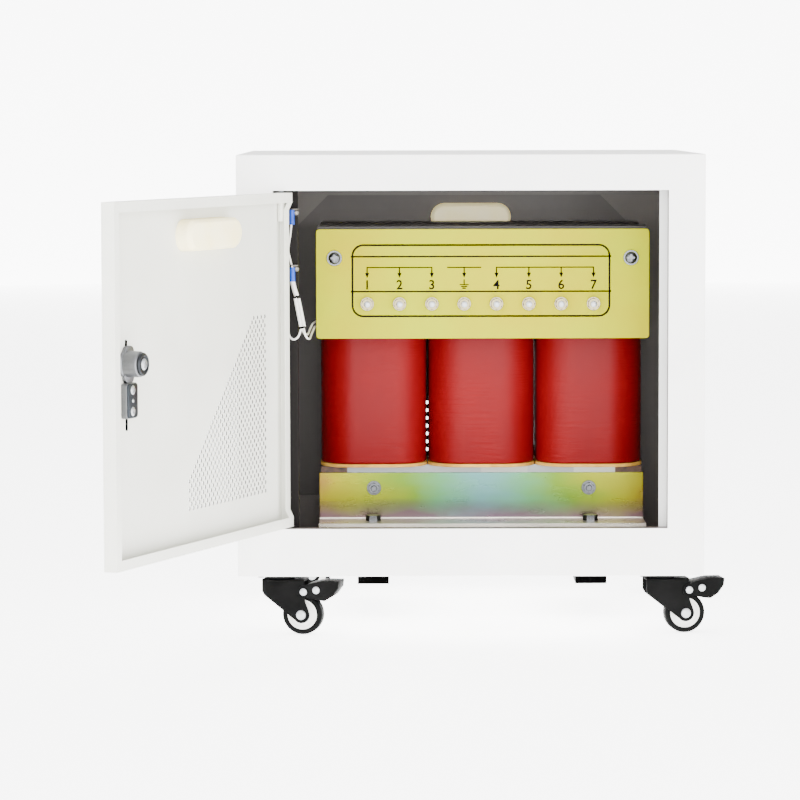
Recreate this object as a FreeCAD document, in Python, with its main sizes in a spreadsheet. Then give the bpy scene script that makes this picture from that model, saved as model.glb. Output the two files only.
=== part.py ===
import FreeCAD, Part
import math
import os
import re
import Sketcher
from FreeCAD import Placement, Rotation, Vector

# Dry type transformer in a sheet-steel cabinet on four casters, millimetres, +Z up, -Y towards the door.
# x = 0 and y = 0 are the middle of the core, and z = 0 is the underside of the two skids.

SIZES = {
    # cabinet: one folded and welded shell, open at the back, with a frame round the door opening
    "cabinet_width": 575, "cabinet_depth": 480, "cabinet_height": 519.5, "shell_sheet": 2,
    "jamb_width": 45, "head_height": 44, "sill_height": 59, "frame_return": 20, "rear_flange": 18,
    "shell_bend": 2, "core_shift": 18, "core_setback": 282,
    "strike_width": 10, "strip_left": 44.5, "strip_width": 30, "strip_depth": 15, "strip_setback": 45,
    "ring_setback": 455, "ring_side": 60.5, "ring_head": 60, "ring_sill": 52, "ring_chamfer": 43,
    "entry_width": 90, "entry_length": 40, "entry_setback": 95, "guard_wall": 3, "guard_lip": 4,
    # panels: door pan and rear cover
    "panel_sheet": 1.5, "panel_margin": 6, "door_gap": 2.5, "door_depth": 17, "door_lip": 12,
    "pin_inset": 10.5, "pin_depth": 6, "pin_radius": 2.5, "barrel_radius": 4.5, "barrel_length": 30,
    "barrel_drop": 5, "pin_reach": 4, "door_open": 112.4, "fit_gap": 0.05, "seat_gap": 0.3,
    "hole_side": 11, "hole_pitch": 32, "field_inset": 82, "field_rise": 68, "field_rows": 7,
    "field_first": 2, "field_widest": 7,
    # recessed grips of moulded plastic
    "cup_height": 36, "cup_depth": 20, "cup_wall": 2, "cup_rim": 5, "cup_lip": 2,
    "door_cup_length": 146, "rear_cup_length": 108, "cup_drop": 90, "door_cup_shift": 19, "rear_cup_shift": 9.5,
    # lock on the door
    "lock_inset": 54, "lock_rise": 205.5, "slot_length": 102, "slot_width": 10, "barrel_up": 23.5,
    "lock_radius": 13, "lock_reach": 21, "cam_radius": 12, "cam_thickness": 4, "spindle_radius": 4,
    "plate_width": 32, "plate_length": 118, "plate_thickness": 3, "lever_thickness": 6,
    "lever_width": 18, "lever_length": 84, "bracket_width": 27, "bracket_depth": 8, "bracket_length": 40,
    # skids and spacers under the core
    "skid_drop": 34, "skid_width": 40, "skid_length": 184, "skid_wall": 4, "skid_spacing": 280,
    "spacer_height": 39, "anchor_spacing": 100, "anchor_radius": 5.5, "foot_spacing": 154,
    "foot_bolt_radius": 5, "cap_thickness": 3,
    # core and windings
    "leg_width": 69, "leg_pitch": 139.2, "yoke_height": 69, "window_height": 237, "stack_depth": 90,
    "core_lift": 5, "coil_width": 136, "coil_depth": 160, "coil_round": 45, "coil_clear": 2,
    "board_thickness": 4, "board_margin": 1.2, "board_corner": 26, "bore_margin": 0.5,
    # clamping angles
    "angle_length": 419, "angle_rise": 64, "angle_foot": 68, "angle_sheet": 5, "angle_bend": 6,
    "bolt_rise": 44.5, "bolt_radius": 4, "head_radius": 7.5, "bolt_head": 7, "bolt_clear": 0.5, "bolt_end": 8, "block_length": 34, "block_rise": 30, "block_height": 42,
    # terminal board
    "tray_width": 422, "tray_height": 138.6, "tray_sheet": 5, "tray_rise": 318.6, "tray_stand": 77,
    "tray_round": 4, "screw_spacing": 376, "screw_rise": 102.1, "stand_radius": 7,
    "screw_head": 6, "stud_radius": 4, "stud_rise": 43.9,
    "stud_pitch": 41, "stud_shift": -3, "stud_front": 14, "stud_back": 12, "nut_circle": 7.5, "nut_height": 8,
    "neck_side": 6,
    "lead_sheet": 2.5, "lead_height": 14, "tab_half": 9,
    # control wiring on the strip
    "wire_radius": 1.3, "sleeve_radius": 2.2, "crimp_radius": 3.3, "lug_sheet": 1, "lug_width": 14,
    "lug_depth": 9, "upper_lug": 485.5, "lower_lug": 416, "crimp_length": 14, "wire_gap": 4.5,
    "wire_inset": 22.5, "sleeve_run": 63, "wire_play": 0.4,
    # casters
    "caster_inset": 50, "caster_setback": 55, "caster_plate_length": 59, "caster_plate_width": 50,
    "caster_sheet": 2.5, "race_radius": 20, "race_drop": 8.2, "king_radius": 5, "king_reach": 3,
    "fork_gap": 0.3, "fork_sheet": 2.5, "fork_inside": 22, "trail_length": 30, "axle_drop": 52.75,
    "fork_eye": 10.5, "wheel_radius": 25.25, "tyre_width": 19, "tyre_taper": 3, "rim_radius": 19, "rim_width": 15,
    "hub_radius": 8, "hub_width": 21, "axle_radius": 4, "axle_head": 6.3, "axle_cap": 3,
    "pedal_sheet": 2, "pedal_gap": 0.4, "pivot_shift": 33.7, "pivot_drop": 23.5, "pivot_radius": 2.5,
    "pivot_reach": 1.5,
    }

# the way each wheel trails from its swivel, in degrees from +X
TRAILS = {"front_left": -12, "front_right": 8, "rear_left": 4, "rear_right": -6}

doc = FreeCAD.newDocument("transformer")
sheet = doc.addObject("Spreadsheet::Sheet", "Sizes")
for row, (alias, value) in enumerate(SIZES.items(), 1):
    sheet.set(f"A{row}", alias)
    sheet.set(f"B{row}", str(value))
    sheet.setAlias(f"B{row}", alias)
doc.recompute()

LEFT = "(-core_shift - cabinet_width / 2)"
RIGHT = "(-core_shift + cabinet_width / 2)"
FRONT = "(-core_setback)"
BACK = "(cabinet_depth - core_setback)"
UNDER = "(skid_drop)"
FLOOR = "(skid_drop + shell_sheet)"
DOOR_WIDTH = "(cabinet_width - 2 * jamb_width - 2 * door_gap)"
DOOR_HEIGHT = "(cabinet_height - head_height - sill_height - 2 * door_gap)"
FOOT = "(skid_drop + shell_sheet + spacer_height)"
CORE = f"({FOOT} + core_lift)"
CORE_HEIGHT = "(window_height + 2 * yoke_height)"
TRAY = "(-stack_depth / 2 - angle_sheet - tray_stand - tray_sheet)"
BOLT_HOLE = "(bolt_radius + bolt_clear)"
NECK_HOLE = "(neck_side / 2 + fit_gap)"
TO_Y = Rotation(Vector(1, 0, 0), -90)
HALF_TURN = Rotation(Vector(0, 0, 1), 180)


def bound(text):
    """Points each size's name in an expression at its cell."""
    return re.sub(r"[a-z]+(_[a-z]+)+", lambda found: "Sizes." + found.group(), text)


def size(alias):
    return float(sheet.get(alias))


def place(obj, at, turn=Rotation()):
    obj.Placement = Placement(Vector(), turn)
    for axis, text in zip("xyz", at):
        obj.setExpression(f"Placement.Base.{axis}", bound(text))
    return obj


def box(name, spans, at):
    obj = doc.addObject("Part::Box", name)
    for side, text in zip(("Length", "Width", "Height"), spans):
        obj.setExpression(side, bound(text))
    return place(obj, at)


def rod(name, radius, length, at, turn=Rotation()):
    obj = doc.addObject("Part::Cylinder", name)
    obj.setExpression("Radius", bound(radius))
    obj.setExpression("Height", bound(length))
    return place(obj, at, turn)


def hexagon(name, radius, length, at, turn=Rotation()):
    obj = doc.addObject("Part::Prism", name)
    obj.Polygon = 6
    obj.setExpression("Circumradius", bound(radius))
    obj.setExpression("Height", bound(length))
    return place(obj, at, turn)


def join(name, pieces):
    obj = doc.addObject("Part::MultiFuse", name)
    obj.Shapes = pieces
    return obj


def cut(name, base, tool):
    obj = doc.addObject("Part::Cut", name)
    obj.Base = base
    obj.Tool = tool
    return obj


def group(name, pieces):
    obj = doc.addObject("Part::Compound", name)
    obj.Links = pieces
    return obj


def new_body(name):
    return doc.addObject("PartDesign::Body", name)


def sketch(body, name, plane, offset, loops, circles):
    """Draws closed polygons and circles, each corner and centre tied to the sheet."""
    drawing = body.newObject("Sketcher::SketchObject", name)
    drawing.AttachmentSupport = ([f for f in body.Origin.OriginFeatures if f.Role == f"{plane}_Plane"][0], [""])
    drawing.MapMode = "FlatFace"
    drawing.setExpression("AttachmentOffset.Base.z", bound(offset))

    def hold(kind, geometry, point, text):
        number = drawing.addConstraint(Sketcher.Constraint(kind, -1, 1, geometry, point, 1))
        drawing.setExpression(f"Constraints[{number}]", bound(text))

    for loop in loops:
        count = len(loop)
        first = drawing.GeometryCount
        corners = [Vector(10 * math.cos(2 * math.pi * i / count), 10 * math.sin(2 * math.pi * i / count), 0)
                   for i in range(count)]
        for i in range(count):
            drawing.addGeometry(Part.LineSegment(corners[i], corners[(i + 1) % count]), False)
        for i in range(count):
            drawing.addConstraint(Sketcher.Constraint("Coincident", first + i, 2, first + (i + 1) % count, 1))
        for i, (x_text, y_text) in enumerate(loop):
            hold("DistanceX", first + i, 1, x_text)
            hold("DistanceY", first + i, 1, y_text)
    for x_text, y_text, r_text in circles:
        ring = drawing.addGeometry(Part.Circle(Vector(0, 0, 0), Vector(0, 0, 1), 1), False)
        hold("DistanceX", ring, 3, x_text)
        hold("DistanceY", ring, 3, y_text)
        number = drawing.addConstraint(Sketcher.Constraint("Radius", ring, 1))
        drawing.setExpression(f"Constraints[{number}]", bound(r_text))
    return drawing


def pad(body, name, plane, start, length, loops=(), circles=()):
    """Adds the outline from start to start + length along the plane's own world axis."""
    offset = f"-(({start}) + ({length}))" if plane == "XZ" else f"({start})"
    feature = body.newObject("PartDesign::Pad", name)
    feature.Profile = sketch(body, name + "_outline", plane, offset, loops, circles)
    feature.setExpression("Length", bound(length))
    return feature


def pocket(body, name, plane, start, length, loops=(), circles=()):
    """Takes the outline away from start to start + length along the plane's own world axis."""
    offset = f"-({start})" if plane == "XZ" else f"(({start}) + ({length}))"
    feature = body.newObject("PartDesign::Pocket", name)
    feature.Profile = sketch(body, name + "_outline", plane, offset, loops, circles)
    feature.setExpression("Length", bound(length))
    return feature


def revolve(body, name, loop, axis="Z_Axis", plane="XZ"):
    feature = body.newObject("PartDesign::Revolution", name)
    feature.Profile = sketch(body, name + "_outline", plane, "0", [loop], ())
    feature.ReferenceAxis = ([f for f in body.Origin.OriginFeatures if f.Role == axis][0], [""])
    feature.Angle = 360
    return feature


def soften(body, name, amount, chosen, kind="Fillet"):
    doc.recompute()
    tip = body.Tip
    edges = [f"Edge{n}" for n, edge in enumerate(tip.Shape.Edges, 1) if chosen(edge)]
    feature = body.newObject(f"PartDesign::{kind}", name)
    feature.Base = (tip, edges)
    feature.setExpression("Radius" if kind == "Fillet" else "Size", bound(amount))
    return feature


def runs_along(edge, axis):
    """True for a straight edge parallel to a world axis."""
    if len(edge.Vertexes) < 2 or edge.Curve.TypeId != "Part::GeomLine":
        return False
    return abs(abs(getattr(edge.tangentAt(edge.FirstParameter), axis)) - 1) < 1e-6


def middle(edge):
    return edge.BoundBox.Center


def rect(x_low, x_high, y_low, y_high):
    return [(x_low, y_low), (x_high, y_low), (x_high, y_high), (x_low, y_high)]


def square(x_text, y_text, half):
    return rect(f"{x_text} - {half}", f"{x_text} + {half}", f"{y_text} - {half}", f"{y_text} + {half}")


def ring_loop(radius, sides=12):
    return [(f"{radius} * cos({a} deg)", f"{radius} * sin({a} deg)")
            for a in [360 // sides * k + 180 // sides for k in range(sides)]]


def bar_loop(x_text, y_text, half, radius):
    """Outline of a bar with round ends, each end drawn as four chords."""
    steps = [45 * k - 90 for k in range(5)]
    right = [(f"{x_text} + {half} + {radius} * cos({a} deg)", f"{y_text} + {radius} * sin({a} deg)")
             for a in steps]
    left = [(f"{x_text} - {half} - {radius} * cos({a} deg)", f"{y_text} - {radius} * sin({a} deg)")
            for a in steps]
    return right + left


# cabinet

def cabinet_shell():
    body = new_body("cabinet_shell")
    wide, tall, deep, wall = "cabinet_width", "cabinet_height", "cabinet_depth", "shell_sheet"
    pad(body, "shell_block", "XZ", "0", deep, [rect("0", wide, "0", tall)])
    soften(body, "shell_corners", "shell_bend", lambda e: runs_along(e, "y"))
    soften(body, "shell_front_edges", "shell_bend / 2", lambda e: middle(e).y < 1e-6, "Chamfer")
    inside = rect(wall, f"{wide} - {wall}", wall, f"{tall} - {wall}")
    pocket(body, "shell_hollow", "XZ", wall, f"{deep} - {wall}", [inside])
    mouth = rect("jamb_width", f"{wide} - jamb_width", "sill_height", f"{tall} - head_height")
    pocket(body, "shell_mouth", "XZ", "0", f"2 * {wall}", [mouth])
    round_mouth = rect(f"jamb_width - {wall}", f"{wide} - jamb_width + {wall}",
                       f"sill_height - {wall}", f"{tall} - head_height + {wall}")
    pad(body, "mouth_return", "XZ", wall, f"frame_return - {wall}", [round_mouth, mouth])
    rim = rect("rear_flange", f"{wide} - rear_flange", "rear_flange", f"{tall} - rear_flange")
    pad(body, "rear_rim", "XZ", f"{deep} - {wall}", wall, [inside, rim])
    pin_x = "jamb_width + pin_inset"
    pocket(body, "pin_hole", "XY", f"{tall} - head_height", wall, (), [(pin_x, "pin_depth", "pin_radius + fit_gap")])
    bolts = [square(f"{wide} / 2 + core_shift + {sx} * skid_spacing / 2",
                    f"core_setback + {sy} * foot_spacing / 2", "(foot_bolt_radius + bolt_clear)")
             for sx in (-1, 1) for sy in (-1, 1)]
    middle_x = f"({wide} / 2 + core_shift)"
    entry = rect(f"{middle_x} - entry_width / 2", f"{middle_x} + entry_width / 2",
                 "entry_setback - entry_length / 2", "entry_setback + entry_length / 2")
    pocket(body, "floor_holes", "XY", "0", wall, bolts + [entry])
    return place(body, (LEFT, FRONT, UNDER))


def strike_strip():
    """Light strip behind the right jamb that the closed door meets."""
    return box("strike_strip", ("strike_width", "shell_sheet", "cabinet_height - head_height - sill_height"),
               (f"{RIGHT} - jamb_width - strike_width", f"{FRONT} + frame_return", f"{UNDER} + sill_height"))


def wiring_strip():
    """Channel from floor to roof behind the left jamb, which carries the control wiring."""
    body = new_body("wiring_strip")
    wide, deep, wall = "strip_width", "strip_depth", "shell_sheet"
    channel = [("0", "0"), (wide, "0"), (wide, deep), (f"{wide} - {wall}", deep), (f"{wide} - {wall}", wall),
               (wall, wall), (wall, deep), ("0", deep)]
    pad(body, "strip_channel", "XY", "0", "cabinet_height - 2 * shell_sheet", [channel])
    return place(body, (f"{LEFT} + strip_left", f"{FRONT} + strip_setback", FLOOR))


def rear_frame():
    """Stiffening ring before the back, with two cut upper corners."""
    body = new_body("rear_frame")
    wide, tall = "(cabinet_width - 2 * shell_sheet)", "(cabinet_height - 2 * shell_sheet)"
    left, right = "(ring_side - shell_sheet)", f"({wide} + shell_sheet - ring_side)"
    low, high = "(ring_sill - shell_sheet)", f"({tall} + shell_sheet - ring_head)"
    window = [(left, low), (right, low), (right, f"{high} - ring_chamfer"), (f"{right} - ring_chamfer", high),
              (f"{left} + ring_chamfer", high), (left, f"{high} - ring_chamfer")]
    pad(body, "ring_plate", "XZ", "0", "shell_sheet", [rect("0", wide, "0", tall), window])
    return place(body, (f"{LEFT} + shell_sheet", f"{FRONT} + ring_setback", FLOOR))


def vent_holes(name, left, low):
    """Square vent holes in a triangle with its upright side at left, wider in each lower row."""
    side, pitch = size("hole_side"), size("hole_pitch")
    cutters = []
    rows = int(size("field_rows"))
    for row in range(rows):
        across = min(int(size("field_first")) + row, int(size("field_widest")))
        z = low + (rows - 1 - row) * pitch
        for column in range(across):
            corner = Vector(left + column * pitch - side / 2, -50, z - side / 2)
            cutters.append(Part.makeBox(side, 100, side, corner))
    tool = doc.addObject("Part::Feature", name)
    tool.Shape = Part.makeCompound(cutters)
    return tool


def grip_cup(name, length):
    """Recessed grip: a rim on the sheet's outer face and a round-ended cup through it."""
    body = new_body(name)
    half = f"(({length} - cup_height) / 2)"
    pad(body, name + "_rim", "XZ", "-cup_lip", "cup_lip", [bar_loop("0", "0", half, "(cup_height / 2 + cup_rim)")])
    pad(body, name + "_cup", "XZ", "0", "cup_depth", [bar_loop("0", "0", half, "(cup_height / 2)")])
    pocket(body, name + "_well", "XZ", "-cup_lip", "cup_depth + cup_lip - cup_wall",
           [bar_loop("0", "0", half, "(cup_height / 2 - cup_wall)")])
    return body


def cup_hole(body, name, length, x_text, z_text, start, deep):
    """Hole for a grip, a seat gap larger than its cup all round."""
    half = f"(({length} - cup_height) / 2)"
    pocket(body, name, "XZ", start, deep, [bar_loop(x_text, z_text, half, "(cup_height / 2 + seat_gap)")])


def rear_panel():
    body = new_body("rear_sheet")
    wide, tall = "(cabinet_width - 2 * panel_margin)", "(cabinet_height - 2 * panel_margin)"
    pad(body, "rear_blank", "XZ", "0", "panel_sheet", [rect("0", wide, "0", tall)])
    cup_hole(body, "rear_cup_hole", "rear_cup_length", f"{wide} / 2 + rear_cup_shift", f"{tall} + panel_margin - cup_drop", "0",
             "panel_sheet")
    place(body, (f"{LEFT} + panel_margin", BACK, f"{UNDER} + panel_margin"))
    tool = vent_holes("rear_vent_tool", size("jamb_width") + size("field_inset"), size("sill_height") + size("field_rise"))
    place(tool, (LEFT, BACK, UNDER))
    return cut("rear_panel", body, tool)


# door, drawn closed with the hinge pin's axis and the pan's underside at the origin

def on_door(obj, at=("0", "0", "0"), turn=0):
    """Turns a piece drawn on the closed door to the open door."""
    swing = -size("door_open")
    x_text, y_text, z_text = at
    obj.Placement = Placement(Vector(), Rotation(Vector(0, 0, 1), swing + turn))
    across, down = f"cos({swing} deg)", f"sin({swing} deg)"
    pin = (f"{LEFT} + jamb_width + pin_inset", f"{FRONT} + pin_depth", f"{UNDER} + sill_height + door_gap")
    obj.setExpression("Placement.Base.x", bound(f"{pin[0]} + ({x_text}) * {across} - ({y_text}) * {down}"))
    obj.setExpression("Placement.Base.y", bound(f"{pin[1]} + ({x_text}) * {down} + ({y_text}) * {across}"))
    obj.setExpression("Placement.Base.z", bound(f"{pin[2]} + ({z_text})"))
    return obj


PAN_LEFT = "(door_gap - pin_inset)"
PAN_RIGHT = f"({DOOR_WIDTH} + door_gap - pin_inset)"
LOCK_X = f"({PAN_RIGHT} - lock_inset)"
BARREL_Z = "(lock_rise + barrel_up)"
CUP_X = f"({DOOR_WIDTH} / 2 + {PAN_LEFT} - door_cup_shift)"
CUP_Z = f"({DOOR_HEIGHT} + door_gap + head_height - cup_drop)"


def door_panel():
    body = new_body("door_pan")
    wall, face, top = "panel_sheet", "-pin_depth", DOOR_HEIGHT
    pad(body, "pan_block", "XZ", face, "door_depth", [rect(PAN_LEFT, PAN_RIGHT, "0", top)])
    soften(body, "pan_corners", "shell_bend", lambda e: runs_along(e, "y"))
    soften(body, "pan_edges", "shell_bend", lambda e: abs(middle(e).y + size("pin_depth")) < 1e-6, "Chamfer")
    inside = rect(f"{PAN_LEFT} + {wall}", f"{PAN_RIGHT} - {wall}", wall, f"{top} - {wall}")
    pocket(body, "pan_hollow", "XZ", f"{face} + {wall}", f"door_depth - {wall}", [inside])
    lips = rect(f"{PAN_LEFT} + door_lip", f"{PAN_RIGHT} - door_lip", "door_lip", f"{top} - door_lip")
    pad(body, "pan_lips", "XZ", f"{face} + door_depth - {wall}", wall, [inside, lips])
    cup_hole(body, "door_cup_hole", "door_cup_length", CUP_X, CUP_Z, face, wall)
    pocket(body, "lock_slot", "XZ", face, wall,
           [rect(f"{LOCK_X} - slot_width / 2", f"{LOCK_X} + slot_width / 2",
                 "lock_rise - slot_length / 2", "lock_rise + slot_length / 2")])
    pocket(body, "lock_hole", "XZ", face, wall, [square(LOCK_X, BARREL_Z, "(lock_radius + seat_gap)")])
    for name, low in (("low", "0"), ("high", f"{top} - {wall}")):
        pocket(body, f"pan_pin_{name}", "XY", low, wall, (), [("0", "0", "pin_radius + fit_gap")])
    tool = vent_holes("door_vent_tool", size("door_gap") - size("pin_inset") + size("field_inset"), size("field_rise"))
    return on_door(cut("door_panel", body, tool))


def hinge_pieces():
    high = rod("hinge_pin_high", "pin_radius", "barrel_length + barrel_drop + door_gap + pin_reach",
               ("0", "0", f"{DOOR_HEIGHT} - barrel_drop - barrel_length"))
    low = rod("hinge_pin_low", "pin_radius", "door_gap + pin_reach", ("0", "0", "-door_gap"))
    on_door(group("hinge_pins", [high, low]))
    body = new_body("hinge_barrel")
    pad(body, "barrel_tube", "XY", f"{DOOR_HEIGHT} - barrel_drop - barrel_length", "barrel_length", (),
        [("0", "0", "barrel_radius"), ("0", "0", "pin_radius + fit_gap")])
    on_door(body)


def lock_pieces():
    """Flush lock: a plate and a lever outside, a barrel through the sheet and an end disc inside."""
    body = new_body("lock_body")
    face = "-pin_depth"
    pad(body, "lock_plate", "XZ", f"{face} - plate_thickness", "plate_thickness",
        [rect(f"{LOCK_X} - plate_width / 2", f"{LOCK_X} + plate_width / 2",
              "lock_rise - plate_length / 2", "lock_rise + plate_length / 2")])
    soften(body, "lock_plate_corners", "plate_width / 5", lambda e: runs_along(e, "y"), "Chamfer")
    pad(body, "lock_barrel", "XZ", face, "panel_sheet + lock_reach", (), [(LOCK_X, BARREL_Z, "lock_radius")])
    pocket(body, "lock_bore", "XZ", f"{face} - plate_thickness", "plate_thickness + panel_sheet + lock_reach", (),
           [(LOCK_X, BARREL_Z, "spindle_radius + fit_gap")])
    on_door(body)
    bracket = new_body("lock_bracket")
    low = "(lock_rise + 2 - bracket_length)"
    pad(bracket, "bracket_block", "XZ", f"{face} + panel_sheet", "bracket_depth",
        [rect(f"{LOCK_X} - bracket_width / 2", f"{LOCK_X} + bracket_width / 2", low, f"{low} + bracket_length")])
    pocket(bracket, "bracket_channel", "XZ", f"{face} + panel_sheet", "bracket_depth - panel_sheet",
           [rect(f"{LOCK_X} - bracket_width / 2 + panel_sheet", f"{LOCK_X} + bracket_width / 2 - panel_sheet",
                 f"{low} - 1", f"{low} + bracket_length + 1")])
    on_door(bracket)
    turning = new_body("lock_lever")
    outer = f"({face} - plate_thickness - seat_gap - lever_thickness)"
    foot = "lever_width / 2"
    pad(turning, "lever_bar", "XZ", outer, "lever_thickness",
        [[(f"{LOCK_X} - {foot}", BARREL_Z), (f"{LOCK_X} - {foot} * 0.7", f"{BARREL_Z} - lever_length"),
          (f"{LOCK_X} + {foot} * 0.7", f"{BARREL_Z} - lever_length"), (f"{LOCK_X} + {foot}", BARREL_Z)]])
    pad(turning, "lever_hub", "XZ", outer, "lever_thickness", (), [(LOCK_X, BARREL_Z, foot)])
    reach = "(plate_thickness + 2 * seat_gap + panel_sheet + lock_reach + lever_thickness)"
    pad(turning, "lever_spindle", "XZ", outer, reach, (), [(LOCK_X, BARREL_Z, "spindle_radius")])
    on_door(turning)
    disc = new_body("lock_disc")
    inner = f"({face} + panel_sheet + lock_reach + seat_gap)"
    pad(disc, "disc_round", "XZ", inner, "cam_thickness", (), [(LOCK_X, BARREL_Z, "cam_radius")])
    on_door(disc)


# skids, spacers and the core

def foot_rails():
    rails, spacers, caps = [], [], []
    for side, sign in (("left", "-"), ("right", "")):
        centre = f"({sign}skid_spacing / 2)"
        skid = new_body(f"skid_{side}")
        tube = [rect("-skid_width / 2", "skid_width / 2", "0", "skid_drop"),
                rect("-skid_width / 2 + skid_wall", "skid_width / 2 - skid_wall", "skid_wall", "skid_drop - skid_wall")]
        pad(skid, f"skid_tube_{side}", "XZ", "-skid_length / 2", "skid_length", tube)
        bolts = [square("0", f"{s}foot_spacing / 2", "(foot_bolt_radius + bolt_clear)") for s in ("-", "")]
        pocket(skid, f"skid_bolts_{side}", "XY", "skid_drop - skid_wall", "skid_wall", bolts)
        pocket(skid, f"skid_anchors_{side}", "XY", "0", "skid_wall", (),
               [("0", f"{s}anchor_spacing / 2", "anchor_radius") for s in ("-", "")])
        rails.append(place(skid, (centre, "0", "0")))
        spacer = new_body(f"spacer_{side}")
        tube = [rect("-skid_width / 2", "skid_width / 2", "0", "spacer_height"),
                rect("-skid_width / 2 + skid_wall", "skid_width / 2 - skid_wall", "skid_wall",
                     "spacer_height - skid_wall")]
        pad(spacer, f"spacer_tube_{side}", "XZ", "-skid_length / 2", "skid_length", tube)
        pocket(spacer, f"spacer_bolts_{side}", "XY", "0", "spacer_height", bolts)
        spacers.append(place(spacer, (centre, "0", FLOOR)))
        for end, along in (("front", "-skid_length / 2 - cap_thickness"), ("rear", "skid_length / 2")):
            caps.append(box(f"cap_{side}_{end}", ("skid_width", "cap_thickness", "skid_drop"),
                            (f"{centre} - skid_width / 2", along, "0")))
    group("skid_rails", rails)
    group("spacer_rails", spacers)
    group("skid_end_caps", caps)


def bolt(name, radius, head, tall, start, length, at, turn=Rotation(), nut=True):
    """Bolt along its own Z from start: a hexagon head, a shank and a nut flush with the shank's ends."""
    x_text, y_text, z_text = at
    along = "y" if turn == TO_Y else "z"

    def shifted(text):
        return (x_text, f"{y_text} + {text}", z_text) if along == "y" else (x_text, y_text, f"{z_text} + {text}")

    pieces = [rod(name + "_shank", radius, length, shifted(start), turn),
              hexagon(name + "_head", head, tall, shifted(f"{start} + {length} - {tall} / 2"), turn)]
    if nut:
        pieces.append(hexagon(name + "_nut", head, tall, shifted(f"{start} - {tall} / 2"), turn))
    return join(name, pieces)


def foot_bolts():
    """Bolts down through each clamp foot, spacer and floor into the skid's upper wall."""
    bolts = []
    for sx in ("-", ""):
        for sy in ("-", ""):
            at = (f"{sx}skid_spacing / 2", f"{sy}foot_spacing / 2", FOOT)
            low = "(-spacer_height - shell_sheet - skid_wall - bolt_end)"
            long = f"(angle_sheet + bolt_head / 2 - {low})"
            bolts.append(bolt(f"foot_bolt_{len(bolts) + 1}", "foot_bolt_radius", "head_radius * 1.3", "bolt_head",
                              low, long, at, nut=False))
    group("foot_bolts", bolts)


def core_pieces():
    """E-shaped stack of three legs on a yoke, and the straight yoke that closes it."""
    half = "(leg_pitch + leg_width / 2)"
    stack = new_body("core_stack")
    top = "(yoke_height + window_height)"
    outline = [(f"-{half}", "0"), (half, "0"), (half, top), (f"{half} - leg_width", top),
               (f"{half} - leg_width", "yoke_height"), ("leg_width / 2", "yoke_height"), ("leg_width / 2", top),
               ("-leg_width / 2", top), ("-leg_width / 2", "yoke_height"), (f"leg_width - {half}", "yoke_height"),
               (f"leg_width - {half}", top), (f"-{half}", top)]
    pad(stack, "stack_block", "XZ", "-stack_depth / 2", "stack_depth", [outline])
    holes = [square(f"{s}leg_pitch", "bolt_rise - core_lift", BOLT_HOLE) for s in ("-", "")]
    pocket(stack, "stack_holes", "XZ", "-stack_depth / 2", "stack_depth", holes)
    place(stack, ("0", "0", CORE))
    yoke = new_body("core_top_yoke")
    pad(yoke, "yoke_block", "XZ", "-stack_depth / 2", "stack_depth", [rect(f"-{half}", half, "0", "yoke_height")])
    holes = [square(f"{s}leg_pitch", "yoke_height + core_lift - bolt_rise", BOLT_HOLE) for s in ("-", "")]
    pocket(yoke, "yoke_holes", "XZ", "-stack_depth / 2", "stack_depth", holes)
    place(yoke, ("0", "0", f"{CORE} + {top}"))


def ring_piece(name, wide, deep, clear, rounding, low, tall, x_text, kind="Fillet"):
    """Rounded block with the leg's opening through it, used for a winding or an end board."""
    body = new_body(name)
    pad(body, name + "_block", "XY", "0", tall,
        [rect(f"-({wide}) / 2", f"({wide}) / 2", f"-({deep}) / 2", f"({deep}) / 2")])
    soften(body, name + "_round", rounding, lambda e: runs_along(e, "z"), kind)
    hole = rect(f"-leg_width / 2 - {clear}", f"leg_width / 2 + {clear}",
                f"-stack_depth / 2 - {clear}", f"stack_depth / 2 + {clear}")
    pocket(body, name + "_leg_hole", "XY", "0", tall, [hole])
    return place(body, (x_text, "0", low))


def windings():
    lower, upper = [], []
    base = f"({CORE} + yoke_height)"
    coil_tall = "(window_height - 2 * board_thickness)"
    for number, x_text in ((1, "-leg_pitch"), (2, "0"), (3, "leg_pitch")):
        ring_piece(f"winding_{number}", "coil_width", "coil_depth", "coil_clear", "coil_round",
                   f"{base} + board_thickness", coil_tall, x_text)
        for shelf, low in ((lower, base), (upper, f"{base} + window_height - board_thickness")):
            word = "lower" if shelf is lower else "upper"
            shelf.append(ring_piece(f"{word}_board_{number}", "coil_width + 2 * board_margin",
                                    "coil_depth + 2 * board_margin", "bore_margin", "board_corner",
                                    low, "board_thickness", x_text, "Chamfer"))
    group("lower_end_boards", lower)
    group("upper_end_boards", upper)


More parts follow.
